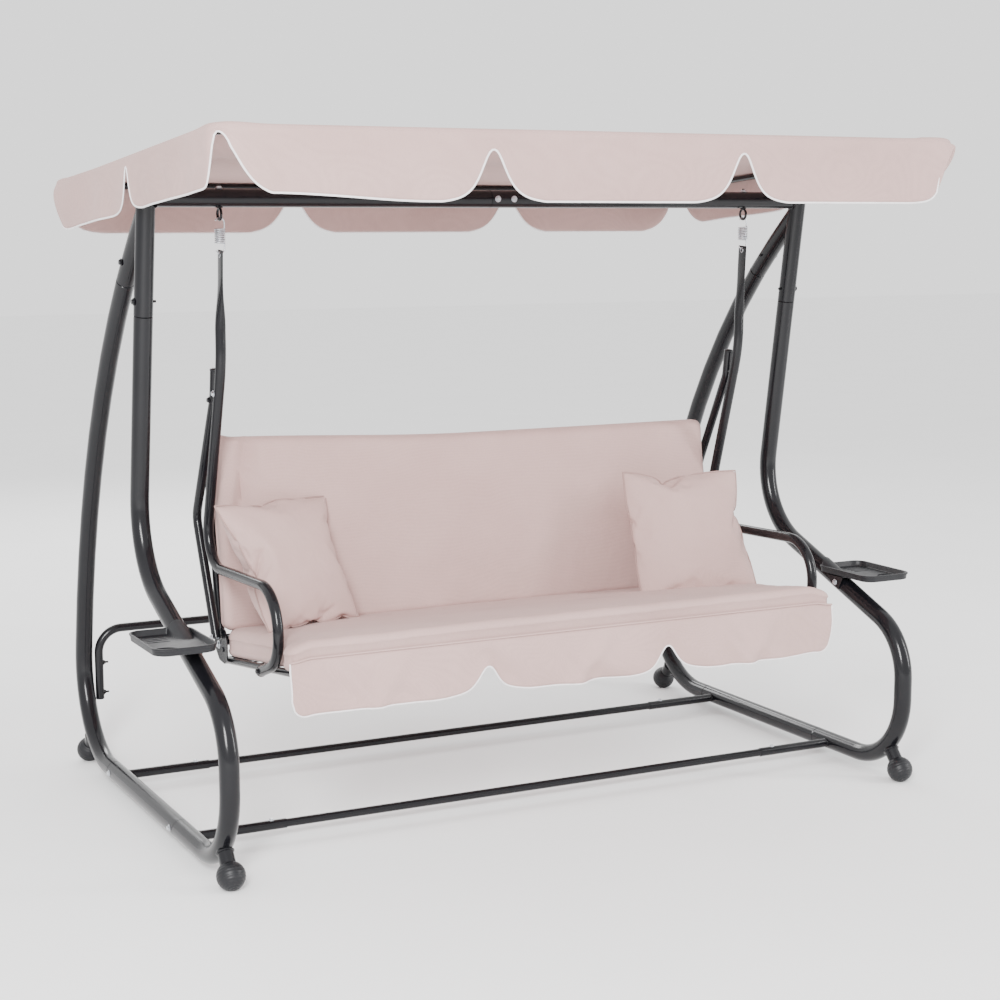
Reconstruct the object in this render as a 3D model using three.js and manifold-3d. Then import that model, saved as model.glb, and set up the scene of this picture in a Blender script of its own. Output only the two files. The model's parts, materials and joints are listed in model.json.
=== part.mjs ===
// Canopy swing bench: two bent-tube side frames, a beam, a tilting canopy and a sprung, reclining bench.
// Millimetres. X runs along the bench, +Y points to its back and Z is up; the feet stand on z = 0.
import * as THREE from 'three';
import { mergeVertices } from 'three/addons/utils/BufferGeometryUtils.js';
import { RoundedBoxGeometry } from 'three/addons/geometries/RoundedBoxGeometry.js';
import Module from 'manifold-3d';

const wasm = await Module();
wasm.setup();

// ---------- driving dimensions ----------
const gap = 0.3; // air left between pieces that touch
const frameX = 1000; // centre plane of a side frame
const legRadius = 25;
const floorTubeZ = 40;
const footY = 640;
const footRadius = 36;
const footCentreZ = footRadius - 2; // the ball has a small flat under it
const beam = { y: -91, z: 1645, radius: 24, jointX: -30 };
const brace = { x: 960, y: 650, z: 390, endZ: 180, radius: 12.5 };
const spreader = { frontY: -320, rearY: 307, z: 38, radius: 11, boltX: 780 };

const hanger = { x: 806, radius: 14, topZ: 1512, eyeZ: 1500, flatWidth: 40, flatThickness: 5 };
const hook = { y: beam.y, ringZ: 1604, ringRadius: 15, wire: 3.5 }; // the springs swing in these rings
const spring = { bottomZ: 1526, topZ: 1570, radius: 13, wire: 2 };
const stay = { x: 806, radius: 12.5 };

const seat = { slope: 0.13, railX: 772, railZ: 408, radius: 10, frontY: -505, rearY: 20 };
const recline = { y: 50, z: 455 };
const back = { x: 777, radius: 11, lean: 0.17, topZ: 962 };
const cushion = { halfWidth: 778, frontHalfWidth: 810, thickness: 78, frontY: -556, rearY: 18 };
const backCushion = { halfWidth: 762, thickness: 62, bottomZ: 506, topZ: 982 };
const pillow = { side: 352, thickness: 116 };

const canopy = {
  halfWidth: 1040, frontY: -740, rearY: 640, cloth: 4,
  topZ: 1747, slope: -0.0737, railX: 1017, railRadius: 9,
  frontDrop: 172, sideDrop: 142, rearDrop: 146,
};
const tilt = { y: beam.y, z: 1740 };
const tray = { x: 1050.5, y: -385, width: 164, depth: 250, rimZ: 572, height: 20, wall: 4, corner: 34 };

const originShift = 23.85; // moves the middle of the bounding box onto y = 0

// ---------- materials ----------
function material(color, roughness, metalness) {
  return new THREE.MeshStandardMaterial({ color, roughness, metalness });
}

const frameSteel = () => material(0x34353a, 0.28, 0.35);
const zinc = () => material(0xb4b8bf, 0.3, 0.95);
const plastic = () => material(0x3b3d42, 0.45, 0);
const cloth = () => material(0xd6c3bd, 0.9, 0);

// ---------- the model's tree ----------
const swing = new THREE.Group();
swing.position.y = originShift;

function add(name, geometry, finish) {
  const mesh = new THREE.Mesh(geometry, finish);
  mesh.name = name;
  swing.add(mesh);
  return mesh;
}

// ---------- solids ----------
function solid(geometry) {
  const bare = geometry.clone();
  bare.deleteAttribute('normal');
  bare.deleteAttribute('uv');
  const merged = mergeVertices(bare, 1e-3);
  const vertProperties = new Float32Array(merged.attributes.position.array);
  const triVerts = new Uint32Array(merged.index.array);
  return new wasm.Manifold(new wasm.Mesh({ numProp: 3, vertProperties, triVerts }));
}

function geometryOf(body) {
  const mesh = body.getMesh();
  const geometry = new THREE.BufferGeometry();
  geometry.setAttribute('position', new THREE.BufferAttribute(new Float32Array(mesh.vertProperties), 3));
  geometry.setIndex(new THREE.BufferAttribute(new Uint32Array(mesh.triVerts), 1));
  return geometry;
}

const join = (...pieces) => geometryOf(pieces.map(solid).reduce((all, piece) => all.add(piece)));

function cut(piece, ...tools) {
  return geometryOf(tools.map(solid).reduce((left, tool) => left.subtract(tool), solid(piece)));
}

// A centre line given by its points: one tube section stands at each, square to the mean direction there.
class CentreLine extends THREE.Curve {
  constructor(points) {
    super();
    this.points = points;
  }

  getPoint(t, target = new THREE.Vector3()) {
    const place = t * (this.points.length - 1);
    const index = Math.min(Math.floor(place), this.points.length - 2);
    return target.lerpVectors(this.points[index], this.points[index + 1], place - index);
  }

  getPointAt(t, target) {
    return this.getPoint(t, target);
  }

  getTangentAt(t, target = new THREE.Vector3()) {
    const last = this.points.length - 1;
    const index = Math.round(t * last);
    const [before, after] = [Math.max(index, 1), Math.min(index, last - 1)];
    const arriving = this.points[before].clone().sub(this.points[before - 1]);
    const leaving = this.points[after + 1].clone().sub(this.points[after]);
    return target.copy(arriving.normalize()).add(leaving.normalize()).normalize();
  }
}

// Rounds the inner corners of a polyline: [x, y, z, bend radius], or [x, y, z] to leave one as it is.
function bentLine(corners) {
  const at = corners.map(([x, y, z]) => new THREE.Vector3(x, y, z));
  const points = [at[0]];
  for (let i = 1; i < at.length - 1; i += 1) {
    const radius = corners[i][3];
    if (!radius) {
      points.push(at[i]);
      continue;
    }
    const behind = at[i - 1].clone().sub(at[i]).normalize();
    const ahead = at[i + 1].clone().sub(at[i]).normalize();
    const turn = Math.PI - behind.angleTo(ahead);
    const start = at[i].clone().addScaledVector(behind, radius * Math.tan(turn / 2));
    const inward = behind.clone().add(ahead).normalize();
    const centre = at[i].clone().addScaledVector(inward, radius / Math.cos(turn / 2));
    const spoke = start.clone().sub(centre);
    const axis = new THREE.Vector3().crossVectors(ahead, behind).normalize();
    const step = 2 * Math.acos(1 - Math.min(1, 0.02 * radius) / radius);
    const count = Math.max(2, Math.ceil(turn / step));
    for (let k = 0; k <= count; k += 1) {
      points.push(spoke.clone().applyAxisAngle(axis, (turn * k) / count).add(centre));
    }
  }
  points.push(at[at.length - 1]);
  return new CentreLine(points);
}

// A round bar along a centre line.
function tube(line, radius, sides = 12) {
  const section = new THREE.Shape();
  for (let k = 0; k < sides; k += 1) {
    const angle = (2 * Math.PI * (k + 0.5)) / sides;
    const [u, v] = [radius * Math.cos(angle), radius * Math.sin(angle)];
    if (k === 0) section.moveTo(u, v);
    else section.lineTo(u, v);
  }
  const steps = line.points.length - 1;
  return new THREE.ExtrudeGeometry(section, { steps, extrudePath: line, bevelEnabled: false });
}

// The same, with its corners in a plane of constant x, each [y, z, bend radius].
const sideLine = (x, corners) => bentLine(corners.map(([y, z, bend]) => [x, y, z, bend]));
const sideTube = (x, corners, radius, sides) => tube(sideLine(x, corners), radius, sides);
const crossTube = (x0, x1, y, z, radius, sides) => tube(bentLine([[x0, y, z], [x1, y, z]]), radius, sides);
const rod = (from, to, radius, sides) => tube(bentLine([from, to]), radius, sides);

function block(x, y, z, width, depth, height) {
  const box = new THREE.BoxGeometry(width, depth, height);
  box.translate(x, y, z);
  return box;
}

// A flat plate of constant x: its outline is drawn in Y and Z.
function sidePlate(x, thickness, outline, holes = []) {
  const shape = new THREE.Shape(outline.map(([y, z]) => new THREE.Vector2(y, z)));
  shape.holes = holes;
  const plate = new THREE.ExtrudeGeometry(shape, { depth: thickness, bevelEnabled: false, curveSegments: 6 });
  plate.applyMatrix4(new THREE.Matrix4().set(0, 0, 1, x - thickness / 2, 1, 0, 0, 0, 0, 1, 0, 0, 0, 0, 0, 1));
  return plate;
}

// A bolt along X at [x, y, z], its hexagon head on the outer side; side is -1 for the left of the bench.
function sideBolt(side, x, y, z, length, radius = 3.5) {
  const head = radius * 1.9;
  return join(
    rod([side * x, y, z], [side * (x - length), y, z], radius, 8),
    rod([side * x, y, z], [side * (x + head * 0.7), y, z], head, 6),
  );
}

// ---------- side frames ----------
const frontLegY = (z) => beam.y + 0.165 * (beam.z - z); // the upper front leg leans forward
const diagonalZ = (y) => 663.3 + 0.385 * y; // the front leg's slope above its curl
const jointZ = 1344; // where the front leg plugs into the top corner
const floorJoint = { frontY: -250, rearY: 360 };
const sleeve = 0.6; // open line between two plugged tubes

// Back along the floor, round the curl at the front, up the slope and then nearly upright to the top corner.
function frontLegLine(side) {
  const reach = -644;
  const kneeZ = diagonalZ(frontLegY(0)) / (1 + 0.385 * 0.165); // where the slope meets the upright
  return sideLine(side * frameX, [
    [floorJoint.frontY - sleeve, floorTubeZ],
    [reach, floorTubeZ, 200],
    [reach, diagonalZ(reach), 175],
    [frontLegY(kneeZ), kneeZ, 230],
    [frontLegY(jointZ), jointZ],
  ]);
}

function rearLegLine(side) {
  return sideLine(side * frameX, [
    [floorJoint.rearY + sleeve, floorTubeZ],
    [716, floorTubeZ, 250],
    [550.7, 979.7, 2030],
    [111, 1430],
  ]);
}

const stubTop = (end) => (end < 0 ? [-585, 98] : [582, 101]); // where a foot's stub meets the leg

// The short tube between a leg's bend and its ball foot; start is the share of its axis left off at the foot.
function stub(side, end, radius, start) {
  const foot = new THREE.Vector3(side * frameX, end * footY, footCentreZ);
  const leg = new THREE.Vector3(side * frameX, ...stubTop(end));
  return rod(foot.lerp(leg, start).toArray(), leg.toArray(), radius);
}

const cornerBolt = (side, y, z) => sideBolt(side, frameX + legRadius + 2, y, z, 12);

function leg(side, end) {
  const line = end < 0 ? frontLegLine(side) : rearLegLine(side);
  return join(tube(line, legRadius), stub(side, end, 20, 0.32));
}

function floorTube(side) {
  return join(
    sideTube(side * frameX, [[floorJoint.frontY, floorTubeZ], [floorJoint.rearY, floorTubeZ]], legRadius),
    cornerBolt(side, floorJoint.frontY + 22, floorTubeZ),
    cornerBolt(side, floorJoint.rearY - 22, floorTubeZ),
  );
}

// The welded top corner: the front leg's end, the rear leg's stub and the plate that the canopy turns on.
function topCorner(side) {
  const x = side * frameX;
  const upright = sideTube(x, [jointZ + sleeve, 1668].map((z) => [frontLegY(z), z]), legRadius);
  const rearStub = sideTube(x, [[109.6, 1431.4], [16, 1521, 1500], [-86, 1609]], legRadius);
  const plateX = side * 1005;
  const plate = sidePlate(plateX, 4, tiltPlateOutline());
  const stud = rod([plateX, tilt.y, tilt.z], [side * 1028, tilt.y, tilt.z], 4, 10);
  const nut = rod([side * 1027, tilt.y, tilt.z], [side * 1031, tilt.y, tilt.z], 7, 6);
  const bolts = [cornerBolt(side, frontLegY(1382), 1382), cornerBolt(side, 58, 1481)];
  return join(upright, rearStub, plate, stud, nut, ...bolts);
}

// Wide at the weld, with a round head small enough to turn under the cloth.
function tiltPlateOutline() {
  const headRadius = 8.6;
  const outline = [[tilt.y - 20, 1655], [tilt.y + 20, 1655]];
  for (let k = 0; k <= 6; k += 1) {
    const angle = (Math.PI * k) / 6;
    outline.push([tilt.y + headRadius * Math.cos(angle), tilt.z + headRadius * Math.sin(angle)]);
  }
  return outline;
}

// A ribbed plastic ball with a flat underside and a socket for its stub.
function ballFoot(side, end) {
  const flat = Math.sqrt(footRadius ** 2 - footCentreZ ** 2);
  const profile = [new THREE.Vector2(0, -footCentreZ), new THREE.Vector2(flat, -footCentreZ)];
  const first = -Math.asin(footCentreZ / footRadius);
  const ribs = 8;
  for (let k = 1; k < ribs; k += 1) {
    const angle = first + ((Math.PI / 2 - first) * k) / ribs;
    const radius = footRadius - (k % 2 === 0 ? 1.6 : 0);
    profile.push(new THREE.Vector2(radius * Math.cos(angle), radius * Math.sin(angle)));
  }
  profile.push(new THREE.Vector2(0, footRadius));
  const ball = new THREE.LatheGeometry(profile, 14);
  ball.rotateX(Math.PI / 2);
  ball.translate(side * frameX, end * footY, footCentreZ);
  return cut(ball, stub(side, end, 23, 0.315));
}

function sideFrames() {
  for (const [name, side] of [['left', -1], ['right', 1]]) {
    add(`${name}_front_leg`, leg(side, -1), frameSteel());
    add(`${name}_rear_leg`, leg(side, 1), frameSteel());
    add(`${name}_floor_tube`, floorTube(side), frameSteel());
    add(`${name}_top_corner`, topCorner(side), frameSteel());
    add(`${name}_front_foot`, ballFoot(side, -1), plastic());
    add(`${name}_rear_foot`, ballFoot(side, 1), plastic());
  }
}

// ---------- cross members ----------
const beamBoltX = [-14, 36];

function beamHalf(side) {
  const inner = beam.jointX + (side * sleeve) / 2;
  const bar = crossTube(side * frameX, inner, beam.y, beam.z, beam.radius);
  const upright = sideTube(side * frameX, [1500, 1800].map((z) => [frontLegY(z), z]), legRadius + gap);
  const hookHole = rod([side * hanger.x, hook.y, 1600], [side * hanger.x, hook.y, 1700], 4 + gap, 8);
  const boltHole = (x) => sideTube(x, [[beam.y - 40, beam.z], [beam.y + 40, beam.z]], 3.5 + gap, 8);
  return cut(bar, upright, hookHole, ...beamBoltX.map(boltHole));
}

function beamBolt(x) {
  const face = beam.y - beam.radius;
  return join(
    rod([x, face - 1, beam.z], [x, beam.y + beam.radius + 6, beam.z], 3.5, 8),
    rod([x, face - 5, beam.z], [x, face - gap, beam.z], 7, 6),
    rod([x, beam.y + beam.radius + gap, beam.z], [x, beam.y + beam.radius + 5, beam.z], 6.5, 6),
  );
}

// An eye bolt through the beam: nut on top, ring below.
function eyeBolt(side) {
  const ring = new THREE.TorusGeometry(hook.ringRadius, hook.wire, 8, 16);
  ring.rotateY(Math.PI / 2);
  ring.translate(side * hanger.x, hook.y, hook.ringZ);
  const top = beam.z + beam.radius;
  const upright = (z0, z1, radius, sides) => {
    return sideTube(side * hanger.x, [[hook.y, z0], [hook.y, z1]], radius, sides);
  };
  const shank = upright(hook.ringZ + hook.ringRadius, top + 9, 4, 8);
  const nut = upright(top + gap, top + 6, 7, 6);
  return join(ring, shank, nut);
}

function crossMembers() {
  add('beam_left_half', beamHalf(-1), frameSteel());
  add('beam_right_half', beamHalf(1), frameSteel());
  beamBoltX.forEach((x, k) => add(`beam_bolt_${k + 1}`, beamBolt(x), zinc()));
  for (const [name, side] of [['left', -1], ['right', 1]]) {
    add(`${name}_eye_bolt`, eyeBolt(side), frameSteel());
  }
  const spreaderX = frameX - legRadius - gap;
  for (const [name, y] of [['front', spreader.frontY], ['rear', spreader.rearY]]) {
    const bar = crossTube(-spreaderX, spreaderX, y, spreader.z, spreader.radius, 12);
    const headTop = spreader.z + spreader.radius + 3;
    const heads = [-1, 1].map((side) => {
      const x = side * spreader.boltX;
      return rod([x, y, spreader.z + 5], [x, y, headTop], 6, 6);
    });
    add(`${name}_spreader`, join(bar, ...heads), frameSteel());
  }
  add('rear_brace', rearBrace(), frameSteel());
}

// A bar between the rear legs whose ends turn down and are bolted to their inner faces.
function rearBrace() {
  const line = bentLine([
    [-brace.x, brace.y, brace.endZ],
    [-brace.x, brace.y, brace.z, 70],
    [brace.x, brace.y, brace.z, 70],
    [brace.x, brace.y, brace.endZ],
  ]);
  const heads = [];
  for (const side of [-1, 1]) {
    for (const z of [200, 290]) {
      heads.push(sideBolt(-side, -(brace.x - brace.radius + 1), brace.y, z, 6));
    }
  }
  return join(tube(line, brace.radius, 12), ...heads);
}

// ---------- side trays ----------
function roundedOutline(width, depth, radius) {
  const shape = new THREE.Shape();
  const [w, d] = [width / 2, depth / 2];
  shape.moveTo(-w + radius, -d);
  shape.lineTo(w - radius, -d);
  shape.absarc(w - radius, -d + radius, radius, -Math.PI / 2, 0);
  shape.absarc(w - radius, d - radius, radius, 0, Math.PI / 2);
  shape.absarc(-w + radius, d - radius, radius, Math.PI / 2, Math.PI);
  shape.absarc(-w + radius, -d + radius, radius, Math.PI, 1.5 * Math.PI);
  return shape;
}

function slab(shape, x, y, z0, z1) {
  const depth = z1 - z0;
  const geometry = new THREE.ExtrudeGeometry(shape, { depth, bevelEnabled: false, curveSegments: 5 });
  geometry.translate(x, y, z0);
  return geometry;
}

const trayFloorZ = tray.rimZ - tray.height;
const cup = { x: tray.x + 38, y: tray.y - 72, radius: 38, depth: 4 };

// A shallow dish moulded over the leg, with a recess for a cup at its outer front corner.
function trayDish(side) {
  const x = side * tray.x;
  const { wall } = tray;
  const outline = roundedOutline(tray.width, tray.depth, tray.corner);
  const outer = solid(slab(outline, x, tray.y, trayFloorZ, tray.rimZ));
  const inner = slab(
    roundedOutline(tray.width - 2 * wall, tray.depth - 2 * wall, tray.corner - wall),
    x, tray.y, trayFloorZ + wall, tray.rimZ + 1,
  );
  const legRun = (radius) => rod(
    [side * frameX, tray.y - 60, diagonalZ(tray.y - 60)],
    [side * frameX, tray.y + 160, diagonalZ(tray.y + 160)],
    radius,
  );
  const cupRun = (z0, z1, radius) => rod([side * cup.x, cup.y, z0], [side * cup.x, cup.y, z1], radius, 20);
  const cupWall = cupRun(trayFloorZ - cup.depth, trayFloorZ + 2, cup.radius);
  const cupHollow = cupRun(trayFloorZ - cup.depth + wall, tray.rimZ, cup.radius - wall);
  const footprint = slab(outline, x, tray.y, trayFloorZ, tray.rimZ + 8);
  const saddle = solid(legRun(legRadius + wall)).intersect(solid(footprint));
  const dish = outer.subtract(solid(inner)).add(solid(cupWall)).subtract(solid(cupHollow)).add(saddle);
  return geometryOf(dish.subtract(solid(legRun(legRadius + gap))));
}

// A folded plate that holds the dish to the inner side of the leg.
function trayBracket(side) {
  const plateX = side * (frameX - legRadius - 2);
  const web = sidePlate(plateX, 3, [[-374, 482], [-342, 496], [-306, 551.4], [-394, 551.4]]);
  const flange = block(side * (frameX - 13), -350, 550.2, 31, 88, 2.4);
  const bolt = sideBolt(-side, -(frameX - legRadius - 3), -354, 512, 0.5);
  const legRun = sideTube(side * frameX, [-440, -260].map((y) => [y, diagonalZ(y)]), legRadius + gap);
  return cut(join(web, flange, bolt), legRun);
}

function trays() {
  for (const [name, side] of [['left', -1], ['right', 1]]) {
    add(`${name}_tray`, trayDish(side), plastic());
    add(`${name}_tray_bracket`, trayBracket(side), frameSteel());
  }
}

// ---------- springs and hangers ----------
const hookTopZ = hook.ringZ - hook.ringRadius + hook.wire + spring.wire + gap; // also the swing axis
const eyeRadius = 6;
const hookBottomZ = hanger.eyeZ + eyeRadius - spring.wire - 1;

// A close-wound coil, drawn as stacked turns, with a loop of its wire at each end.
function coilSpring(side) {
  const x = side * hanger.x;
  const turns = 6;
  const pitch = (spring.topZ - spring.bottomZ) / turns;
  const profile = [];
  for (let k = 0; k < turns; k += 1) {
    profile.push(new THREE.Vector2(spring.radius + spring.wire - 1.6, spring.bottomZ + pitch * k));
    profile.push(new THREE.Vector2(spring.radius + spring.wire, spring.bottomZ + pitch * (k + 0.5)));
  }
  profile.push(new THREE.Vector2(spring.radius + spring.wire - 1.6, spring.topZ));
  profile.push(new THREE.Vector2(spring.radius - spring.wire, spring.topZ));
  profile.push(new THREE.Vector2(spring.radius - spring.wire, spring.bottomZ));
  profile.push(profile[0].clone());
  const coil = new THREE.LatheGeometry(profile, 12);
  coil.rotateX(Math.PI / 2);
  coil.translate(x, hook.y, 0);
  const loop = (endZ, coilZ) => tube(bentLine([
    [x - spring.radius, hook.y, coilZ],
    [x - spring.radius, hook.y, endZ, spring.radius - 0.5],
    [x + spring.radius, hook.y, endZ, spring.radius - 0.5],
    [x + spring.radius, hook.y, coilZ],
  ]), spring.wire, 6);
  return join(coil, loop(hookTopZ, spring.topZ - 2), loop(hookBottomZ, spring.bottomZ + 2));
}

function deform(geometry, move) {
  const places = geometry.attributes.position;
  const point = new THREE.Vector3();
  for (let i = 0; i < places.count; i += 1) {
    point.fromBufferAttribute(places, i);
    move(point);
    places.setXYZ(i, point.x, point.y, point.z);
  }
  return geometry;
}

const hangerTopY = (z) => hook.y + 0.067 * (hanger.eyeZ - z);
const pinch = { fromZ: 1310, toZ: 1450 }; // the round tube is pressed flat between these heights

// One tube from the hook down the side, round the back of the armrest, along it and back under the seat.
function hangerLine(side) {
  const stations = [hanger.topZ, pinch.toZ, 1415, 1380, 1345, pinch.fromZ];
  return sideLine(side * hanger.x, [
    ...stations.map((z) => [hangerTopY(z), z]),
    [-78, 1215, 400],
    [95, 662, 95],
    [-469, 681, 110],
    [-468, 498, 90],
    [-340, 452],
  ]);
}

function hangerTube(side, radius = hanger.radius) {
  const x = side * hanger.x;
  return deform(tube(hangerLine(side), radius), (point) => {
    const t = THREE.MathUtils.smoothstep(point.z, pinch.fromZ, pinch.toZ);
    const middle = hangerTopY(point.z);
    const wide = THREE.MathUtils.lerp(1, hanger.flatWidth / 2 / hanger.radius, t);
    const thin = THREE.MathUtils.lerp(1, hanger.flatThickness / 2 / hanger.radius, t);
    if (t > 0) point.set(x + (point.x - x) * thin, middle + (point.y - middle) * wide, point.z);
  });
}

function hangerAndArmrest(side) {
  const eye = crossTube(side * (hanger.x - 20), side * (hanger.x + 20), hook.y, hanger.eyeZ, eyeRadius, 10);
  const seatBolt = { y: -352, z: seatZ(-352) + 2 };
  const spacer = rod(
    [side * hanger.x, seatBolt.y, seatBolt.z],
    [side * (seat.railX + seat.radius + gap), seatBolt.y, seatBolt.z],
    7, 10,
  );
  return join(
    cut(hangerTube(side), eye),
    spacer,
    sideBolt(side, hanger.x + 13, seatBolt.y, seatBolt.z, 6),
    sideBolt(side, hanger.x + 13, stayBolt.y - 20, stayBolt.z, 6),
  );
}

// ---------- rear stays and seat brackets ----------
const stayBolt = { y: -28, z: 1138 };

// It leaves the hanger near its middle, bows out behind the armrest and comes back to the seat bracket.
function rearStay(side) {
  const bar = sideTube(side * stay.x, [[-24, 1197], [-14, 1125, 60], [161, 785, 60], [14, 470]], stay.radius);
  const lug = sideTube(side * stay.x, [[stayBolt.y, stayBolt.z], [stayBolt.y - 24, stayBolt.z]], 6, 8);
  const body = join(bar, lug, sideBolt(side, stay.x + 11, 14, 474, 6));
  return cut(body, hangerTube(side, hanger.radius + gap));
}

const bracket = { x: 790.5, thickness: 3.4 };

// The plate that ties the stay, the seat rail and the backrest's pivot together.
function seatBracket(side) {
  const x = side * bracket.x;
  const outline = [
    [-30, 414], [-8, 402], [34, 406], [70, 438], [70, 470],
    [50, 486], [4, 500], [-18, 494], [-30, 470],
  ];
  const plate = sidePlate(x, bracket.thickness, outline);
  const boss = rod([x, 0, seat.railZ + 6], [side * (seat.railX + 9), 0, seat.railZ + 6], 8, 10);
  const pin = rod([x, recline.y, recline.z], [side * (back.x - 15), recline.y, recline.z], 4, 10);
  const rail = seatRailBar(side, seat.radius + gap);
  return cut(join(plate, pin, boss, sideBolt(side, bracket.x, 0, 440, 1)), rail);
}

// ---------- seat frame ----------
const seatZ = (y) => seat.railZ - seat.slope * y;
const seatRailBar = (side, radius) => sideTube(
  side * seat.railX, [[seat.frontY, seatZ(seat.frontY)], [seat.rearY, seatZ(seat.rearY)]], radius, 10,
);

function seatBar(y) {
  const reach = seat.railX + 6;
  return crossTube(-reach, reach, y, seatZ(y), seat.radius, 10);
}

// A flat grille of crossing strips, drawn about its own middle.
function meshPanel(width, depth, thickness, columns, rows, rib) {
  const strips = [];
  for (let i = 0; i <= columns; i += 1) {
    const x = ((width - rib) * (i - columns / 2)) / columns;
    strips.push(block(x, 0, 0, rib, depth, thickness));
  }
  for (let j = 0; j <= rows; j += 1) {
    const y = ((depth - rib) * (j - rows / 2)) / rows;
    strips.push(block(0, y, 0, width, rib, thickness));
  }
  return join(...strips);
}

function seatFrame() {
  for (const [name, side] of [['left', -1], ['right', 1]]) {
    const bars = [seatBar(seat.frontY), seatBar(seat.rearY)].map(solid);
    const rail = bars.reduce((left, bar) => left.subtract(bar), solid(seatRailBar(side, seat.radius)));
    add(`${name}_seat_rail`, geometryOf(rail), frameSteel());
  }
  add('seat_front_bar', seatBar(seat.frontY), frameSteel());
  add('seat_rear_bar', seatBar(seat.rearY), frameSteel());
  const width = 2 * (seat.railX - seat.radius - 1);
  const depth = seat.rearY - seat.frontY - 2 * (seat.radius + 1);
  const panel = meshPanel(width, depth, 3, 8, 3, 16);
  const middleY = (seat.frontY + seat.rearY) / 2;
  panel.rotateX(-Math.atan(seat.slope));
  panel.translate(0, middleY, seatZ(middleY));
  add('seat_mesh', panel, frameSteel());
}

// ---------- backrest ----------
const backY = (z) => recline.y + 12 + back.lean * (z - recline.z); // centre line of the backrest's side tubes

function backrest() {
  const x = back.x;
  const topY = backY(back.topZ);
  const line = bentLine([
    [-x, recline.y, recline.z - 12],
    [-x, backY(500), 500, 120],
    [-x, topY, back.topZ, 60],
    [x, topY, back.topZ, 60],
    [x, backY(500), 500, 120],
    [x, recline.y, recline.z - 12],
  ]);
  const pins = [-1, 1].map((side) => (
    rod([side * (x - 20), recline.y, recline.z], [side * (x + 20), recline.y, recline.z], 4 + gap, 10)));
  add('backrest_frame', cut(tube(line, back.radius, 10), ...pins), frameSteel());
  const [bottomZ, topZ] = [500, back.topZ - back.radius - 4];
  const height = (topZ - bottomZ) * Math.hypot(1, back.lean);
  const panel = meshPanel(2 * (x - back.radius) - 60, height, 3.2, 8, 3, 15);
  const middleZ = (bottomZ + topZ) / 2;
  panel.rotateX(Math.PI / 2 - Math.atan(back.lean));
  panel.translate(0, backY(middleZ), middleZ);
  add('backrest_mesh', panel, frameSteel());
}

// A round star knob on the inner end of the pivot pin.
function lockKnob(side) {
  const outer = back.x - back.radius - 1;
  const profile = [[0, 0], [15, 0], [16.5, 3], [16.5, 10], [13, 15], [0, 15]];
  const points = profile.map(([radius, height]) => new THREE.Vector2(radius, height));
  const knob = new THREE.LatheGeometry(points, 16);
  knob.rotateZ((side * Math.PI) / 2);
  knob.translate(side * outer, recline.y, recline.z);
  const pin = crossTube(side * (outer - 10), side * (outer + 1), recline.y, recline.z, 4 + gap, 10);
  return cut(knob, pin);
}

// ---------- cushions and pillows ----------
function roundedBlock(width, depth, height, radius) {
  return new RoundedBoxGeometry(width, depth, height, 2, radius);
}

function seatCushion() {
  const bottomAt = (y) => seatZ(y) + seat.radius + 1;
  const rearPart = roundedBlock(2 * cushion.halfWidth, cushion.rearY - cushion.frontY, cushion.thickness, 26);
  rearPart.translate(0, (cushion.rearY + cushion.frontY) / 2, 0);
  const rollDepth = 66;
  const frontRoll = roundedBlock(2 * cushion.frontHalfWidth, rollDepth, cushion.thickness, 26);
  frontRoll.translate(0, cushion.frontY + rollDepth / 2, 0);
  return deform(join(rearPart, frontRoll), (point) => {
    point.z += bottomAt(point.y) + cushion.thickness / 2;
  });
}

function backCushionBlock() {
  const height = backCushion.topZ - backCushion.bottomZ;
  return deform(roundedBlock(2 * backCushion.halfWidth, backCushion.thickness, height, 26), (point) => {
    point.z += backCushion.bottomZ + height / 2;
    point.y += backY(point.z) - back.radius - 4 - backCushion.thickness / 2;
  });
}

// A square pillow: full in the middle, thin at its seam, its corners drawn out a little.
function pillowShape() {
  const { side, thickness } = pillow;
  const cells = 8;
  return deform(new THREE.BoxGeometry(side, thickness, side, cells, 1, cells), (point) => {
    const [u, v] = [(2 * point.x) / side, (2 * point.z) / side];
    const fullness = Math.sqrt((1 - u * u) * (1 - v * v));
    point.y = Math.sign(point.y) * (5 + (thickness / 2 - 5) * fullness ** 0.8);
    point.x *= 1 - 0.06 * (1 - v * v);
    point.z *= 1 - 0.06 * (1 - u * u);
  });
}

function placedPillow(x, y, z, lean, yaw, roll) {
  const shape = pillowShape();
  shape.rotateY(roll);
  shape.rotateX(-lean);
  shape.rotateZ(yaw);
  shape.translate(x, y, z);
  return shape;
}

// The front of the seat is hidden by a thin cloth skirt of three hanging panels.
function seatSkirt() {
  const [topZ, hemZ, width] = [523, 383, cushion.frontHalfWidth];
  const skirt = hangingPanel(valanceOutline(width, topZ - hemZ, [-270, 270], 80, false));
  skirt.translate(0, cushion.frontY - 1, topZ);
  return skirt;
}

// ---------- canopy ----------
const notchReach = 130; // half the width of a notch in the hem

// How far the hem rises at a distance from the middle of a notch: a bell shape.
function bell(distance, height) {
  const curve = (s) => 1 / (1 + (s / 36) ** 2.3);
  const foot = curve(notchReach);
  return distance < notchReach ? (height * (curve(distance) - foot)) / (1 - foot) : 0;
}

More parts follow.
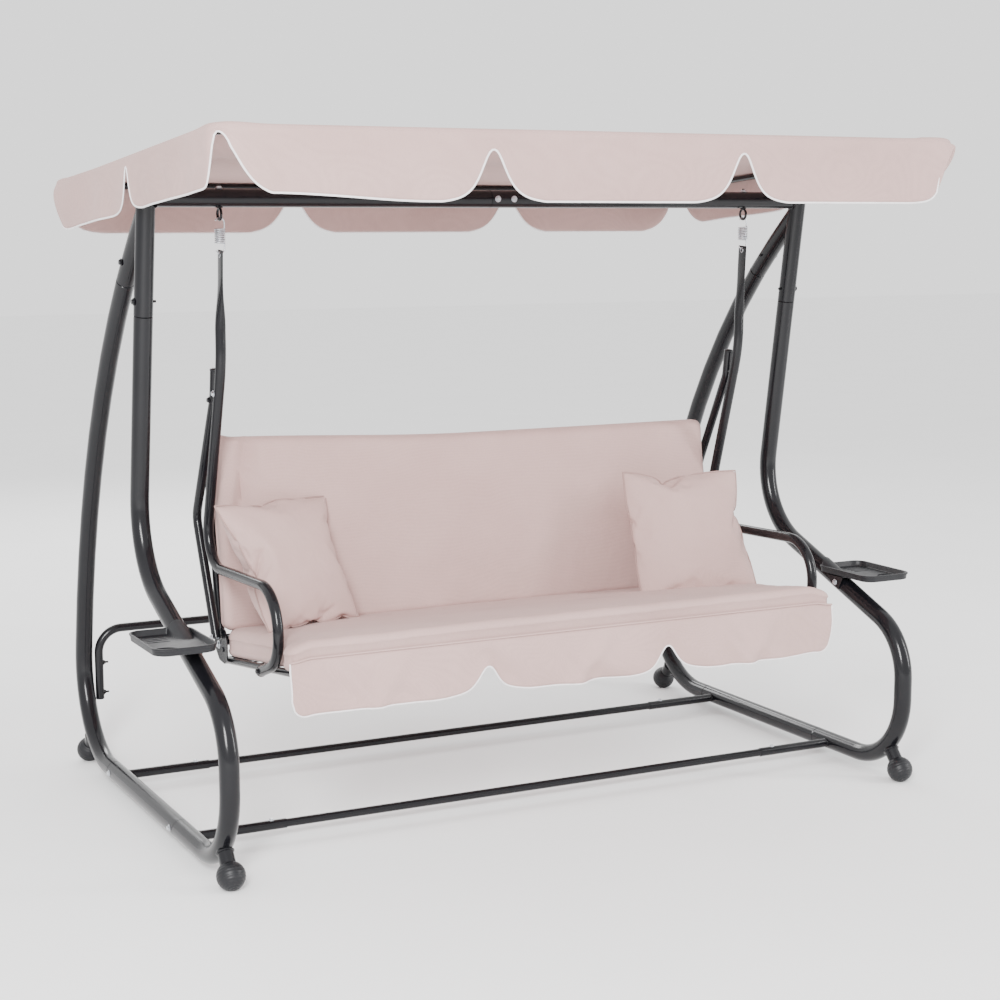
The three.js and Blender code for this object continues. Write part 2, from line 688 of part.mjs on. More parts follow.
// A hanging panel from -halfWidth to halfWidth, its top edge at 0 and bell-shaped notches in its hem.
function valanceOutline(halfWidth, drop, notches, notchHeight, cornerNotches = true) {
  const centres = cornerNotches ? [-halfWidth, ...notches, halfWidth] : notches;
  const heights = centres.map((centre) => (Math.abs(centre) === halfWidth ? drop - 18 : notchHeight));
  const steps = [notchReach, 85, 55, 38, 25, 12, 0];
  const places = new Set([-halfWidth, halfWidth]);
  for (const centre of centres) {
    for (const step of steps) {
      for (const s of [centre - step, centre + step]) {
        if (Math.abs(s) < halfWidth) places.add(s);
      }
    }
  }
  const hem = [...places].sort((a, b) => a - b).map((s) => {
    const rises = centres.map((centre, k) => bell(Math.abs(s - centre), heights[k]));
    return new THREE.Vector2(s, -drop + Math.max(...rises));
  });
  return [new THREE.Vector2(-halfWidth, 0), ...hem, new THREE.Vector2(halfWidth, 0)];
}

// A thin cloth panel in its place facing the front, its top edge on z = 0.
function hangingPanel(outline) {
  const shape = new THREE.Shape(outline);
  const panel = new THREE.ExtrudeGeometry(shape, { depth: canopy.cloth, bevelEnabled: false });
  return panel.rotateX(Math.PI / 2);
}

const canopyZ = (y) => canopy.topZ + canopy.slope * y;

// A sloping top with four hanging sides, one cloth thickness throughout.
function canopyCover() {
  const { halfWidth, frontY, rearY, cloth: thickness } = canopy;
  const depth = rearY - frontY;
  const middleY = (frontY + rearY) / 2;
  const top = block(0, middleY, -thickness / 2, 2 * halfWidth, depth, thickness);
  const front = hangingPanel(valanceOutline(halfWidth, canopy.frontDrop, [-348, 348], 122));
  front.translate(0, frontY + thickness, 0);
  const rear = hangingPanel(valanceOutline(halfWidth, canopy.rearDrop, [-340, 395], 98));
  rear.translate(0, rearY, 0);
  const sides = [-1, 1].map((side) => {
    const outline = valanceOutline(depth / 2, canopy.sideDrop, [-67 - middleY], 112);
    const panel = hangingPanel(outline).rotateZ(Math.PI / 2);
    return panel.translate(side > 0 ? halfWidth - thickness : -halfWidth, middleY, 0);
  });
  return deform(join(top, front, rear, ...sides), (point) => {
    point.z += canopyZ(point.y);
  });
}

const canopyFrame = { frontY: -722, rearY: 622, bend: 60, jointX: 760 };

function canopyRail(side) {
  const drop = canopy.cloth + canopy.railRadius + gap;
  const at = (x, y) => [side * x, y, canopyZ(y) - drop];
  const { frontY, rearY, bend, jointX } = canopyFrame;
  const line = bentLine([
    at(jointX, frontY),
    [...at(canopy.railX, frontY), bend],
    [...at(canopy.railX, rearY), bend],
    at(jointX, rearY),
  ]);
  const stud = rod([side * 990, tilt.y, tilt.z], [side * 1040, tilt.y, tilt.z], 4 + gap, 10);
  return cut(tube(line, canopy.railRadius, 10), stud);
}

function canopyBar(y) {
  const reach = canopyFrame.jointX - sleeve;
  const z = canopyZ(y) - canopy.cloth - canopy.railRadius - gap;
  return crossTube(-reach, reach, y, z, canopy.railRadius, 10);
}

function canopyParts() {
  add('canopy_cover', canopyCover(), cloth());
  add('left_canopy_rail', canopyRail(-1), frameSteel());
  add('right_canopy_rail', canopyRail(1), frameSteel());
  add('canopy_front_bar', canopyBar(canopyFrame.frontY), frameSteel());
  add('canopy_rear_bar', canopyBar(canopyFrame.rearY), frameSteel());
}

// ---------- assembly ----------
function bench() {
  for (const [name, side] of [['left', -1], ['right', 1]]) {
    add(`${name}_spring`, coilSpring(side), zinc());
    add(`${name}_hanger`, hangerAndArmrest(side), frameSteel());
    add(`${name}_stay`, rearStay(side), frameSteel());
    add(`${name}_seat_bracket`, seatBracket(side), frameSteel());
    add(`${name}_lock_knob`, lockKnob(side), plastic());
  }
  seatFrame();
  backrest();
  add('seat_cushion', seatCushion(), cloth());
  add('seat_skirt', seatSkirt(), cloth());
  add('back_cushion', backCushionBlock(), cloth());
  add('left_pillow', placedPillow(-598, -112, 688, 0.45, 0.36, 0.03), cloth());
  add('right_pillow', placedPillow(586, -154, 691, 0.42, -0.1, 0), cloth());
}

sideFrames();
crossMembers();
trays();
bench();
canopyParts();

export default swing;
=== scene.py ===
"""The looks of the canopy swing bench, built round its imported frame.

Metres, X along the bench, +Y to the back.
"""
import json
import math
import bmesh
import bpy
from mathutils import Matrix, Vector, noise


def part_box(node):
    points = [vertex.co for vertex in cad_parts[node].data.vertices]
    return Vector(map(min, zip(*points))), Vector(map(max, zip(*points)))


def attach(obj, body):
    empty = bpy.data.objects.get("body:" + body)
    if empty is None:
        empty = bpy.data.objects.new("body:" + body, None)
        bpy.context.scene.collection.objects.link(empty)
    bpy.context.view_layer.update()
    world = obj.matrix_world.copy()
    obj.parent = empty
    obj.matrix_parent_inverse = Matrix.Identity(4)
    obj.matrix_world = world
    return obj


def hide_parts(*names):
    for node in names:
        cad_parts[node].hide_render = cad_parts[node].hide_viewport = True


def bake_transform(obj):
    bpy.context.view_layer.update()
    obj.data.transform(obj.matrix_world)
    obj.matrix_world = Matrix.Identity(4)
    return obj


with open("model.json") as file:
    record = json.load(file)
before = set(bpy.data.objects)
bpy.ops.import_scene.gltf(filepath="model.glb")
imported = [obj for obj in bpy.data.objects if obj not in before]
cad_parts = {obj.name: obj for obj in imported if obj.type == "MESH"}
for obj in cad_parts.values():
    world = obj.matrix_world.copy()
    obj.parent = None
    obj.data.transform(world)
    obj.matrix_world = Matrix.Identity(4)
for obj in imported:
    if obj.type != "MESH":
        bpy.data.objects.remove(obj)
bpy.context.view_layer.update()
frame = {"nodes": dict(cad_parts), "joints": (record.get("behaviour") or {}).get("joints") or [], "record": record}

# ---------- driving dimensions, from the frame ----------
joints = {joint["name"]: joint for joint in frame["joints"]}
SIDES = (("left", -1), ("right", 1))
STEEL, ZINC, PLASTIC = 0, 1, 2
ALONG = Vector((1, 0, 0))
UP = Vector((0, 0, 1))

BEAM_Y = -0.091
SHIFT = joints["canopy_tilt"]["pos_m"][1] - BEAM_Y  # side views are drawn with the beam at BEAM_Y
BEAM_Z = 1.645
TILT_Z = joints["canopy_tilt"]["pos_m"][2]
SWING_Z = joints["bench_swing"]["pos_m"][2]
RECLINE_Y = joints["backrest_recline"]["pos_m"][1] - SHIFT
RECLINE_Z = joints["backrest_recline"]["pos_m"][2]
KNOB_X = joints["right_lock_turn"]["pos_m"][0]


def middle(node):
    """The middle of a CAD node's box, with y as in the side views."""
    low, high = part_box(node)
    return (low + high) / 2 - Vector((0, SHIFT, 0))


def size(node):
    low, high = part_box(node)
    return high - low


LEG_RADIUS = 0.025
LEG_LEAN = 0.165
DIAGONAL_RISE = 0.385
FLOOR_Z = middle("left_floor_tube").z
FRAME_X = middle("right_front_foot").x
FOOT_RADIUS = 0.036
FOOT_Z = FOOT_RADIUS - 0.002
FOOT_Y = 0.64
JOINT_Z = 1.344
HANGER_X = middle("right_spring").x
HANGER_RADIUS = 0.014
HANGER_EYE_Z = 1.5
RAIL_X = middle("right_seat_rail").x
SEAT_RADIUS = 0.01
SEAT_FRONT = middle("seat_front_bar").y
SEAT_REAR = middle("seat_rear_bar").y
SEAT_SLOPE = (middle("seat_front_bar").z - middle("seat_rear_bar").z) / (SEAT_REAR - SEAT_FRONT)
BACK_RADIUS = 0.011
BACK_X = size("backrest_frame").x / 2 - BACK_RADIUS
BACK_LEAN = 0.17
BACK_LOW = 0.5
BACK_TOP = 0.962
CANOPY_HALF = size("canopy_cover").x / 2
CANOPY_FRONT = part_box("canopy_cover")[0].y - SHIFT
CANOPY_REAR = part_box("canopy_cover")[1].y - SHIFT
CANOPY_MIDDLE_Y = (CANOPY_REAR + CANOPY_FRONT) / 2
CANOPY_HALF_DEPTH = (CANOPY_REAR - CANOPY_FRONT) / 2
CANOPY_TURN = 0.012
CANOPY_SLOPE = 0.0737
CANOPY_MIDDLE_Z = 1.747
CUSHION_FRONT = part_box("seat_cushion")[0].y - SHIFT
CUSHION_HALF = size("seat_cushion").x / 2
TRAY_X = 1.0505
TRAY_Y = middle("right_tray").y
TRAY_RIM_Z = 0.572
TRAY_FLOOR_Z = TRAY_RIM_Z - 0.016
TRAY_CUP = (0.038, -0.072, 0.034)  # x and y from the tray's middle, and radius
WIRE_RADIUS = 0.0018
CLOTH_THICKNESS = 0.0016
PIPING_DEPTH = 0.0018


def front_leg_y(z):
    return BEAM_Y + LEG_LEAN * (BEAM_Z - z)


def diagonal_z(y):
    return 0.6633 + DIAGONAL_RISE * y


def seat_z(y):
    return 0.408 - SEAT_SLOPE * y


def back_y(z):
    return RECLINE_Y + 0.012 + BACK_LEAN * (z - RECLINE_Z)


def canopy_z(y):
    return CANOPY_MIDDLE_Z - CANOPY_SLOPE * y


def blend_01(value, start, end):
    """0 before start, 1 after end, smooth between them."""
    t = min(1, max(0, (value - start) / (end - start)))
    return t * t * (3 - 2 * t)


# ---------- materials ----------
class Material:
    """A Principled material with helpers for its nodes.

    Textures take the piece's own coordinates, in metres.
    """

    def __init__(self, name, **values):
        self.material = bpy.data.materials.new(name)
        self.material.use_nodes = True
        self.nodes = self.material.node_tree.nodes
        self.shader = self.nodes["Principled BSDF"]
        for socket, value in values.items():
            self.shader.inputs[socket.replace("_", " ")].default_value = value
        self.place = self.nodes.new("ShaderNodeTexCoord").outputs["Object"]

    def link(self, source, target):
        self.material.node_tree.links.new(source, target)

    def noise(self, scale, detail=3, roughness=0.55, stretch=(1, 1, 1)):
        mapping = self.nodes.new("ShaderNodeMapping")
        mapping.inputs["Scale"].default_value = stretch
        self.link(self.place, mapping.inputs["Vector"])
        texture = self.nodes.new("ShaderNodeTexNoise")
        texture.inputs["Scale"].default_value = scale
        texture.inputs["Detail"].default_value = detail
        texture.inputs["Roughness"].default_value = roughness
        self.link(mapping.outputs["Vector"], texture.inputs["Vector"])
        return texture.outputs["Fac"]

    def threads(self, direction, pitch):
        """Bands a pitch apart. The texture's own bands are 0.314 / scale apart."""
        wave = self.nodes.new("ShaderNodeTexWave")
        wave.bands_direction = direction
        wave.inputs["Scale"].default_value = 0.314 / pitch
        wave.inputs["Distortion"].default_value = 0.6
        wave.inputs["Detail"].default_value = 1
        self.link(self.place, wave.inputs["Vector"])
        return wave.outputs["Fac"]

    def math(self, operation, *values):
        node = self.nodes.new("ShaderNodeMath")
        node.operation = operation
        for socket, value in zip(node.inputs, values):
            if isinstance(value, (int, float)):
                socket.default_value = value
            else:
                self.link(value, socket)
        return node.outputs[0]

    def ramp(self, factor, *stops):
        """Colours or greys by factor, each stop (place, (r, g, b))."""
        node = self.nodes.new("ShaderNodeValToRGB")
        elements = node.color_ramp.elements
        while len(elements) < len(stops):
            elements.new(0.5)
        for element, (place, colour) in zip(elements, stops):
            element.position = place
            element.color = (*colour, 1)
        self.link(factor, node.inputs["Fac"])
        return node.outputs["Color"]

    def multiply(self, factor, first, second):
        node = self.nodes.new("ShaderNodeMix")
        node.data_type = "RGBA"
        node.blend_type = "MULTIPLY"
        node.inputs[0].default_value = factor
        self.link(first, node.inputs[6])
        self.link(second, node.inputs[7])
        return node.outputs[2]

    def colour(self, source):
        self.link(source, self.shader.inputs["Base Color"])

    def roughness(self, factor, low, high):
        node = self.nodes.new("ShaderNodeMapRange")
        node.inputs["To Min"].default_value = low
        node.inputs["To Max"].default_value = high
        self.link(factor, node.inputs["Value"])
        self.link(node.outputs["Result"], self.shader.inputs["Roughness"])

    def bump(self, *layers):
        """Each layer is (height, strength, distance in metres)."""
        last = None
        for height, strength, distance in layers:
            node = self.nodes.new("ShaderNodeBump")
            node.inputs["Strength"].default_value = strength
            node.inputs["Distance"].default_value = distance
            self.link(height, node.inputs["Height"])
            if last:
                self.link(last, node.inputs["Normal"])
            last = node.outputs["Normal"]
        self.link(last, self.shader.inputs["Normal"])


def powder_coat():
    """Glossy dark charcoal paint: a fine orange peel, and a trace of dust and scuffs."""
    paint = Material("powder_coat", Coat_Weight=0.1, Coat_Roughness=0.05, IOR=1.34)
    shade = paint.ramp(paint.noise(7, 4), (0.3, (0.005, 0.005, 0.0066)), (0.7, (0.0072, 0.0072, 0.009)))
    lightening = (0.0, (1, 1, 1)), (0.74, (1, 1, 1)), (0.82, (1.4, 1.4, 1.4))
    scuffs = paint.ramp(paint.noise(160, 6, 0.7), *lightening)
    paint.colour(paint.multiply(1, shade, scuffs))
    paint.roughness(paint.noise(24, 3), 0.15, 0.24)
    paint.bump((paint.noise(420, 1), 0.025, 0.0004), (paint.noise(30, 1), 0.02, 0.001))
    return paint.material


def zinc_plate():
    """Bright zinc with a faint patchy bloom."""
    metal = Material("zinc_plate", Metallic=1.0)
    metal.colour(metal.ramp(metal.noise(90, 4), (0.3, (0.5, 0.52, 0.56)), (0.7, (0.74, 0.76, 0.79))))
    metal.roughness(metal.noise(60, 4), 0.2, 0.42)
    metal.bump((metal.noise(900, 2), 0.12, 0.0002))
    return metal.material


def moulded_plastic():
    """Satin dark grey moulding with a fine grain."""
    plastic = Material("moulded_plastic", IOR=1.4)
    greys = (0.3, (0.008, 0.0082, 0.01)), (0.7, (0.012, 0.0122, 0.0145))
    plastic.colour(plastic.ramp(plastic.noise(40, 4), *greys))
    plastic.roughness(plastic.noise(80, 3), 0.34, 0.52)
    plastic.bump((plastic.noise(1300, 2), 0.2, 0.0002))
    return plastic.material


def woven_cloth(name, dark, light):
    """Plain woven polyester: threads both ways, slubs, soft shade changes and a faint sheen."""
    cloth = Material(name, Sheen_Weight=0.12, Sheen_Roughness=0.45, Specular_IOR_Level=0.2)
    cloth.shader.inputs["Sheen Tint"].default_value = (1, 0.93, 0.92, 1)
    patches = cloth.ramp(cloth.noise(3.2, 4), (0.25, dark), (0.75, light))
    threads = [cloth.threads(direction, 0.0016) for direction in "XYZ"]
    weave = cloth.math("ADD", cloth.math("ADD", threads[0], threads[1]), threads[2])
    yarn = cloth.ramp(cloth.math("MULTIPLY", weave, 0.34), (0.2, (0.93, 0.93, 0.93)), (0.8, (1, 1, 1)))
    slubs = cloth.ramp(cloth.noise(420, 4, 0.7, (1, 1, 0.3)), (0.3, (0.93, 0.92, 0.92)), (0.65, (1, 1, 1)))
    cloth.colour(cloth.multiply(0.8, cloth.multiply(1, patches, yarn), slubs))
    cloth.roughness(cloth.noise(130, 3), 0.78, 0.94)
    cloth.bump(
        (weave, 0.22, 0.0006),
        (cloth.noise(300, 3), 0.2, 0.0006),
        (cloth.noise(9, 3, 0.5), 0.45, 0.016),
    )
    return cloth.material


def binding_tape():
    """The pale tape that binds the scallops."""
    tape = Material("binding_tape", Sheen_Weight=0.2)
    tape.colour(tape.ramp(tape.noise(60, 4), (0.3, (0.8, 0.76, 0.77)), (0.7, (0.9, 0.87, 0.88))))
    tape.roughness(tape.noise(200, 3), 0.7, 0.9)
    tape.bump((tape.noise(900, 2), 0.3, 0.0004))
    return tape.material


def pale_floor():
    floor = Material("pale_floor", Roughness=0.9)
    floor.colour(floor.ramp(floor.noise(2, 3), (0.3, (0.93, 0.93, 0.93)), (0.7, (0.95, 0.95, 0.95))))
    floor.bump((floor.noise(60, 3), 0.02, 0.001))
    return floor.material


HARD = (powder_coat(), zinc_plate(), moulded_plastic())
CLOTH = woven_cloth("woven_cloth", (0.50, 0.335, 0.312), (0.56, 0.385, 0.36))
# The welts' cloth is darker than the cover: painted shade, so that each pillow's seam looks shadowed.
SHADED_SEAM_CLOTH = woven_cloth("seam_cloth_painted_shade", (0.36, 0.235, 0.215), (0.42, 0.28, 0.26))
TAPE = binding_tape()


# ---------- lines and pieces ----------
def at(x, y, z):
    return Vector((x, y + SHIFT, z))


def bent(corners, step=math.radians(4)):
    """The line through corners (x, y, z) or (x, y, z, bend radius), each bend an arc."""
    places = [at(*corner[:3]) for corner in corners]
    line = [places[0]]
    for before, corner, after, given in zip(places, places[1:], places[2:], corners[1:]):
        if len(given) < 4:
            line.append(corner)
            continue
        behind = (before - corner).normalized()
        ahead = (after - corner).normalized()
        turn = math.pi - behind.angle(ahead)
        start = corner + behind * given[3] * math.tan(turn / 2)
        centre = corner + (behind + ahead).normalized() * given[3] / math.cos(turn / 2)
        axis = ahead.cross(behind).normalized()
        count = max(3, math.ceil(turn / step))
        for k in range(count + 1):
            line.append(centre + Matrix.Rotation(turn * k / count, 3, axis) @ (start - centre))
    return line + [places[-1]]


def side_bent(x, corners):
    return bent([(x, *corner) for corner in corners])


def level(start_x, end_x, y, z):
    return [at(start_x, y, z), at(end_x, y, z)]


def wander(x, y, z):
    """Smooth noise about 0, the same on every run."""
    return noise.noise(Vector((x, y, z)))


def ring_line(centre, radius, normal, count=32):
    """A circle of points about centre, square to normal."""
    across = normal.orthogonal().normalized() * radius
    return [centre + Matrix.Rotation(2 * math.pi * k / count, 3, normal) @ across for k in range(count)]


class Piece:
    """The points and faces of one piece. finishes holds each face's place in its materials."""

    def __init__(self):
        self.points = []
        self.faces = []
        self.finishes = []

    def rings(self, rings, finish=STEEL, loop=False, caps=True):
        """A skin over rings of equally many points, with flat ends unless it is a loop."""
        first, around = len(self.points), len(rings[0])
        for ring in rings:
            self.points.extend(ring)
        faces = []
        for k in range(len(rings) if loop else len(rings) - 1):
            here, there = first + k * around, first + (k + 1) % len(rings) * around
            for i in range(around):
                j = (i + 1) % around
                faces.append((here + i, here + j, there + j, there + i))
        if caps and not loop:
            last = first + (len(rings) - 1) * around
            faces.append(tuple(range(first + around - 1, first - 1, -1)))
            faces.append(tuple(range(last, last + around)))
        self.faces.extend(faces)
        self.finishes.extend([finish] * len(faces))

    def tube(self, line, radius, finish=STEEL, sides=28, loop=False, normals=None, widths=None):
        """A round bar along a line.

        normals turn its section, and widths(point) gives its two half widths.
        """
        count = len(line)
        steps = [(line[(k + 1) % count] - line[k]).normalized() for k in range(count)]
        if not loop:
            steps[-1] = steps[-2]
        ways = [(steps[k - 1] + steps[k]).normalized() for k in range(count)]
        if not loop:
            ways[0] = steps[0]
        normal = normals[0] if normals else ways[0].orthogonal().normalized()
        rings = []
        for k, (point, way) in enumerate(zip(line, ways)):
            if normals:
                normal = normals[k] if len(normals) > 1 else normal
            elif k:
                normal = ways[k - 1].rotation_difference(way) @ normal
            normal = (normal - way * normal.dot(way)).normalized()
            wide, tall = widths(point) if widths else (radius, radius)
            across = way.cross(normal)
            rings.append([
                point + normal * wide * math.cos(a) + across * tall * math.sin(a)
                for a in (2 * math.pi * i / sides for i in range(sides))
            ])
        if not loop:
            rings = rounded_ends(rings, line)
        self.rings(rings, finish, loop)

    def bead(self, centre, radius, axis, thickness, finish=STEEL, count=32):
        """A ring of thin round bar, such as a weld or a rolled rim."""
        self.tube(ring_line(centre, radius, axis, count), thickness, finish, 8, loop=True)

    def sheet(self, rows):
        """Square faces over rows of equally many points."""
        first, columns = len(self.points), len(rows[0])
        for row in rows:
            self.points.extend(row)
        for j in range(len(rows) - 1):
            for i in range(columns - 1):
                a = first + j * columns + i
                self.faces.append((a, a + 1, a + columns + 1, a + columns))
                self.finishes.append(0)

    def turned(self, profile, base, axis, finish=STEEL, sides=24):
        """A turned part: profile is (radius, height along axis) from its foot up."""
        axis = axis.normalized()
        across = axis.orthogonal().normalized()
        self.rings([
            [
                base + axis * height + Matrix.Rotation(2 * math.pi * i / sides, 3, axis) @ across * radius
                for i in range(sides)
            ]
            for radius, height in profile
        ], finish)

    def bolt(self, place, axis, finish=STEEL, radius=0.0064):
        """A hexagon head on a washer."""
        self.turned([(radius * 1.35, 0), (radius * 1.4, 0.0008), (radius * 1.3, 0.0015)], place, axis, finish)
        head = [(radius, 0.0012), (radius, 0.0048), (radius * 0.84, 0.0062)]
        self.turned(head, place, axis, finish, 6)

    def nut(self, place, axis, radius, height, ease=0.001):
        self.turned([(radius, 0), (radius, height), (radius - 0.001, height + ease)], place, axis, ZINC, 6)

    def plate(self, outline, x, thickness):
        """A flat plate of constant x, its outline in Y and Z."""
        self.rings([[at(x + d, y, z) for y, z in outline] for d in (-thickness / 2, thickness / 2)])

    def build_cloth(self, name, body, node=None, cloth=CLOTH, sharp=60):
        return self.build(name, body, node, sharp, (cloth,))

    def build(self, name, body, node=None, sharp=38, materials=HARD):
        """The finished object, riding on body and standing in for a CAD node where one is given."""
        mesh = bpy.data.meshes.new(name)
        mesh.from_pydata([tuple(p) for p in self.points], [], self.faces)
        for material in materials:
            mesh.materials.append(material)
        mesh.polygons.foreach_set("material_index", self.finishes)
        mesh.shade_smooth()
        mesh.set_sharp_from_angle(angle=math.radians(sharp))
        piece = bpy.data.objects.new(name, mesh)
        bpy.context.scene.collection.objects.link(piece)
        turn_faces_out(mesh)
        if body:
            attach(piece, body)
        if node:
            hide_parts(node)
        return piece


def turn_faces_out(mesh, join_within=0):
    """Turns every face outward, once points closer than join_within are joined."""
    work = bmesh.new()
    work.from_mesh(mesh)
    if join_within:
        bmesh.ops.remove_doubles(work, verts=work.verts, dist=join_within)
    bmesh.ops.recalc_face_normals(work, faces=work.faces)
    work.to_mesh(mesh)
    work.free()


def rounded_ends(rings, line, bevel=0.0012):
    """Eases both ends of a bar, so that two plugged tubes show a fine groove."""
    ends = []
    for ring, place, inner in ((rings[0], line[0], line[1]), (rings[-1], line[-1], line[-2])):
        inward = (inner - place).normalized() * bevel
        small = [place + (p - place) * (1 - bevel / max((p - place).length, bevel * 2)) for p in ring]
        ends.append((small, [p + inward for p in ring]))
    return [ends[0][0], ends[0][1], *rings[1:-1], ends[1][1], ends[1][0]]


# ---------- side frames ----------
STUB_TOPS = {-1: (-0.585, 0.098), 1: (0.582, 0.101)}
STUB_RADIUS = 0.02
TOP_Z = 1.668


def front_leg_line(x):
    reach = -0.644
    knee_z = diagonal_z(front_leg_y(0)) / (1 + DIAGONAL_RISE * LEG_LEAN)
    return side_bent(x, [
        (-0.2506, FLOOR_Z), (reach, FLOOR_Z, 0.2), (reach, diagonal_z(reach), 0.175),
        (front_leg_y(knee_z), knee_z, 0.23), (front_leg_y(JOINT_Z), JOINT_Z),
    ])


def rear_leg_line(x):
    return side_bent(x, [(0.3606, FLOOR_Z), (0.716, FLOOR_Z, 0.25), (0.5507, 0.9797, 2.03), (0.111, 1.43)])


def stub_axis(x, end):
    """The middle of a ball foot, the top of the stub it holds, and the way between them."""
    foot = at(x, end * FOOT_Y, FOOT_Z)
    top = at(x, *STUB_TOPS[end])
    return foot, top, (top - foot).normalized()


def legs():
    for name, side in SIDES:
        x = side * FRAME_X
        for place, end, line in (("front", -1, front_leg_line(x)), ("rear", 1, rear_leg_line(x))):
            foot, top, way = stub_axis(x, end)
            piece = Piece()
            piece.tube(line, LEG_RADIUS, sides=36)
            piece.tube([foot + way * 0.028, top], STUB_RADIUS)
            weld = foot + way * ((top - foot).length - LEG_RADIUS + 0.003)
            piece.bead(weld, STUB_RADIUS + 0.0005, way, 0.0028)
            piece.build(f"{name}_{place}_leg_tube", "frame", f"{name}_{place}_leg")
            ball_foot(name, place, x, end)


def ball_foot(name, place, x, end):
    """A ribbed ball with a flat top round its stub and a small flat where it stands."""
    foot, _, way = stub_axis(x, end)
    ribs, each = 11, 4
    steps = ribs * each
    profile = []
    for k in range(steps + 1):
        angle = math.radians(-88 + 146 * k / steps)
        radius = FOOT_RADIUS - 0.001 * (k % each == 0)
        profile.append((radius * math.cos(angle), radius * math.sin(angle)))
    socket_z = profile[-1][1]
    profile += [(STUB_RADIUS - 0.0005, socket_z + 0.0006), (STUB_RADIUS - 0.0008, socket_z - 0.002)]
    piece = Piece()
    piece.turned(profile, foot, way, PLASTIC, 48)
    for point in piece.points:
        point.z = max(point.z, 0)
    piece.build(f"{name}_{place}_ball_foot", "frame", f"{name}_{place}_foot", 50)


def floor_tubes():
    for name, side in SIDES:
        x = side * FRAME_X
        piece = Piece()
        front, rear = -0.25, 0.36
        piece.tube([at(x, front, FLOOR_Z), at(x, rear, FLOOR_Z)], LEG_RADIUS, sides=36)
        for y in (front + 0.022, rear - 0.022):
            piece.bolt(at(x + side * (LEG_RADIUS - 0.0006), y, FLOOR_Z), Vector((side, 0, 0)), ZINC)
        piece.build(f"{name}_floor_bar", "frame", f"{name}_floor_tube")


def tilt_plate_outline():
    """A small plate on the beam's end, rounded about the canopy's pivot."""
    foot_z, half_foot, radius = 1.655, 0.02, 0.0086
    outline = [(BEAM_Y - half_foot, foot_z), (BEAM_Y + half_foot, foot_z)]
    for k in range(13):
        angle = math.pi * k / 12
        outline.append((BEAM_Y + radius * math.cos(angle), TILT_Z + radius * math.sin(angle)))
    return outline


def top_corners():
    """The welded corner of each side frame, with the canopy's pivot stud and the leg bolts."""
    stud_x = 1.004
    for name, side in SIDES:
        x = side * FRAME_X
        out = ALONG * side
        piece = Piece()
        piece.tube([at(x, front_leg_y(z), z) for z in (JOINT_Z + 0.0006, TOP_Z)], LEG_RADIUS, sides=36)
        rear_bend = side_bent(x, [(0.1096, 1.4314), (0.016, 1.521, 1.5), (-0.086, 1.609)])
        piece.tube(rear_bend, LEG_RADIUS, sides=36)
        piece.plate(tilt_plate_outline(), side * (stud_x + 0.001), 0.004)
        piece.tube(level(side * stud_x, side * (stud_x + 0.024), BEAM_Y, TILT_Z), 0.004, ZINC, 16)
        piece.nut(at(side * (stud_x + 0.023), BEAM_Y, TILT_Z), out, 0.007, 0.003)
        for y, z in ((front_leg_y(1.382), 1.382), (0.058, 1.481)):
            piece.tube(level(x, x + side * (LEG_RADIUS + 0.003), y, z), 0.0035, sides=12)
            piece.bolt(at(x + side * (LEG_RADIUS + 0.001), y, z), out, radius=0.0072)
            piece.tube(level(x, x - side * (LEG_RADIUS + 0.008), y, z), 0.0035, sides=12)
        cap = [(0.0245, -0.001), (0.0262, 0), (0.0262, 0.0035), (0.022, 0.0062), (0.004, 0.0072)]
        piece.turned(cap, at(x, front_leg_y(TOP_Z), TOP_Z), Vector((0, -LEG_LEAN, 1)), PLASTIC, 36)
        piece.build(f"{name}_top_corner_tubes", "frame", f"{name}_top_corner")


# ---------- cross members ----------
def beam():
    """Two halves that meet left of the middle, and the two screws beside their joint."""
    joint_x, radius = -0.03, 0.024
    for name, side in SIDES:
        piece = Piece()
        half = level(side * 0.978, joint_x + side * 0.0003, BEAM_Y, BEAM_Z)
        piece.tube(half, radius, sides=36)
        piece.bead(at(side * (FRAME_X - LEG_RADIUS), BEAM_Y, BEAM_Z), radius + 0.0005, ALONG, 0.0025)
        piece.build(f"beam_{name}_tube", "frame", f"beam_{name}_half")
    for k, x in enumerate((-0.014, 0.036)):
        piece = Piece()
        piece.tube([at(x, BEAM_Y - 0.025, BEAM_Z), at(x, BEAM_Y + 0.031, BEAM_Z)], 0.0035, ZINC, 12)
        for way in (-1, 1):
            piece.bolt(at(x, BEAM_Y + way * 0.0236, BEAM_Z), Vector((0, way, 0)), ZINC)
        piece.build(f"beam_screw_{k + 1}", "frame", f"beam_bolt_{k + 1}")


def eye_bolts():
    """The ring bolts through the beam that the springs hang from."""
    ring_z, ring_radius = 1.604, 0.015
    beam_top = BEAM_Z + 0.024
    for name, side in SIDES:
        x = side * HANGER_X
        nut_place = at(x, BEAM_Y, beam_top)
        piece = Piece()
        ring = ring_line(at(x, BEAM_Y, ring_z), ring_radius, ALONG, 40)
        piece.tube(ring, 0.0035, sides=14, loop=True)
        piece.tube([at(x, BEAM_Y, ring_z + ring_radius), at(x, BEAM_Y, beam_top + 0.009)], 0.004, sides=16)
        piece.turned([(0.010, 0), (0.0104, 0.0008), (0.0095, 0.0016)], nut_place, UP, ZINC)
        piece.nut(nut_place, UP, 0.007, 0.005)
        piece.turned([(0.009, 0), (0.0095, 0.001), (0.009, 0.003)], at(x, BEAM_Y, BEAM_Z - 0.0255), UP)
        piece.build(f"{name}_hook_bolt", "frame", f"{name}_eye_bolt")


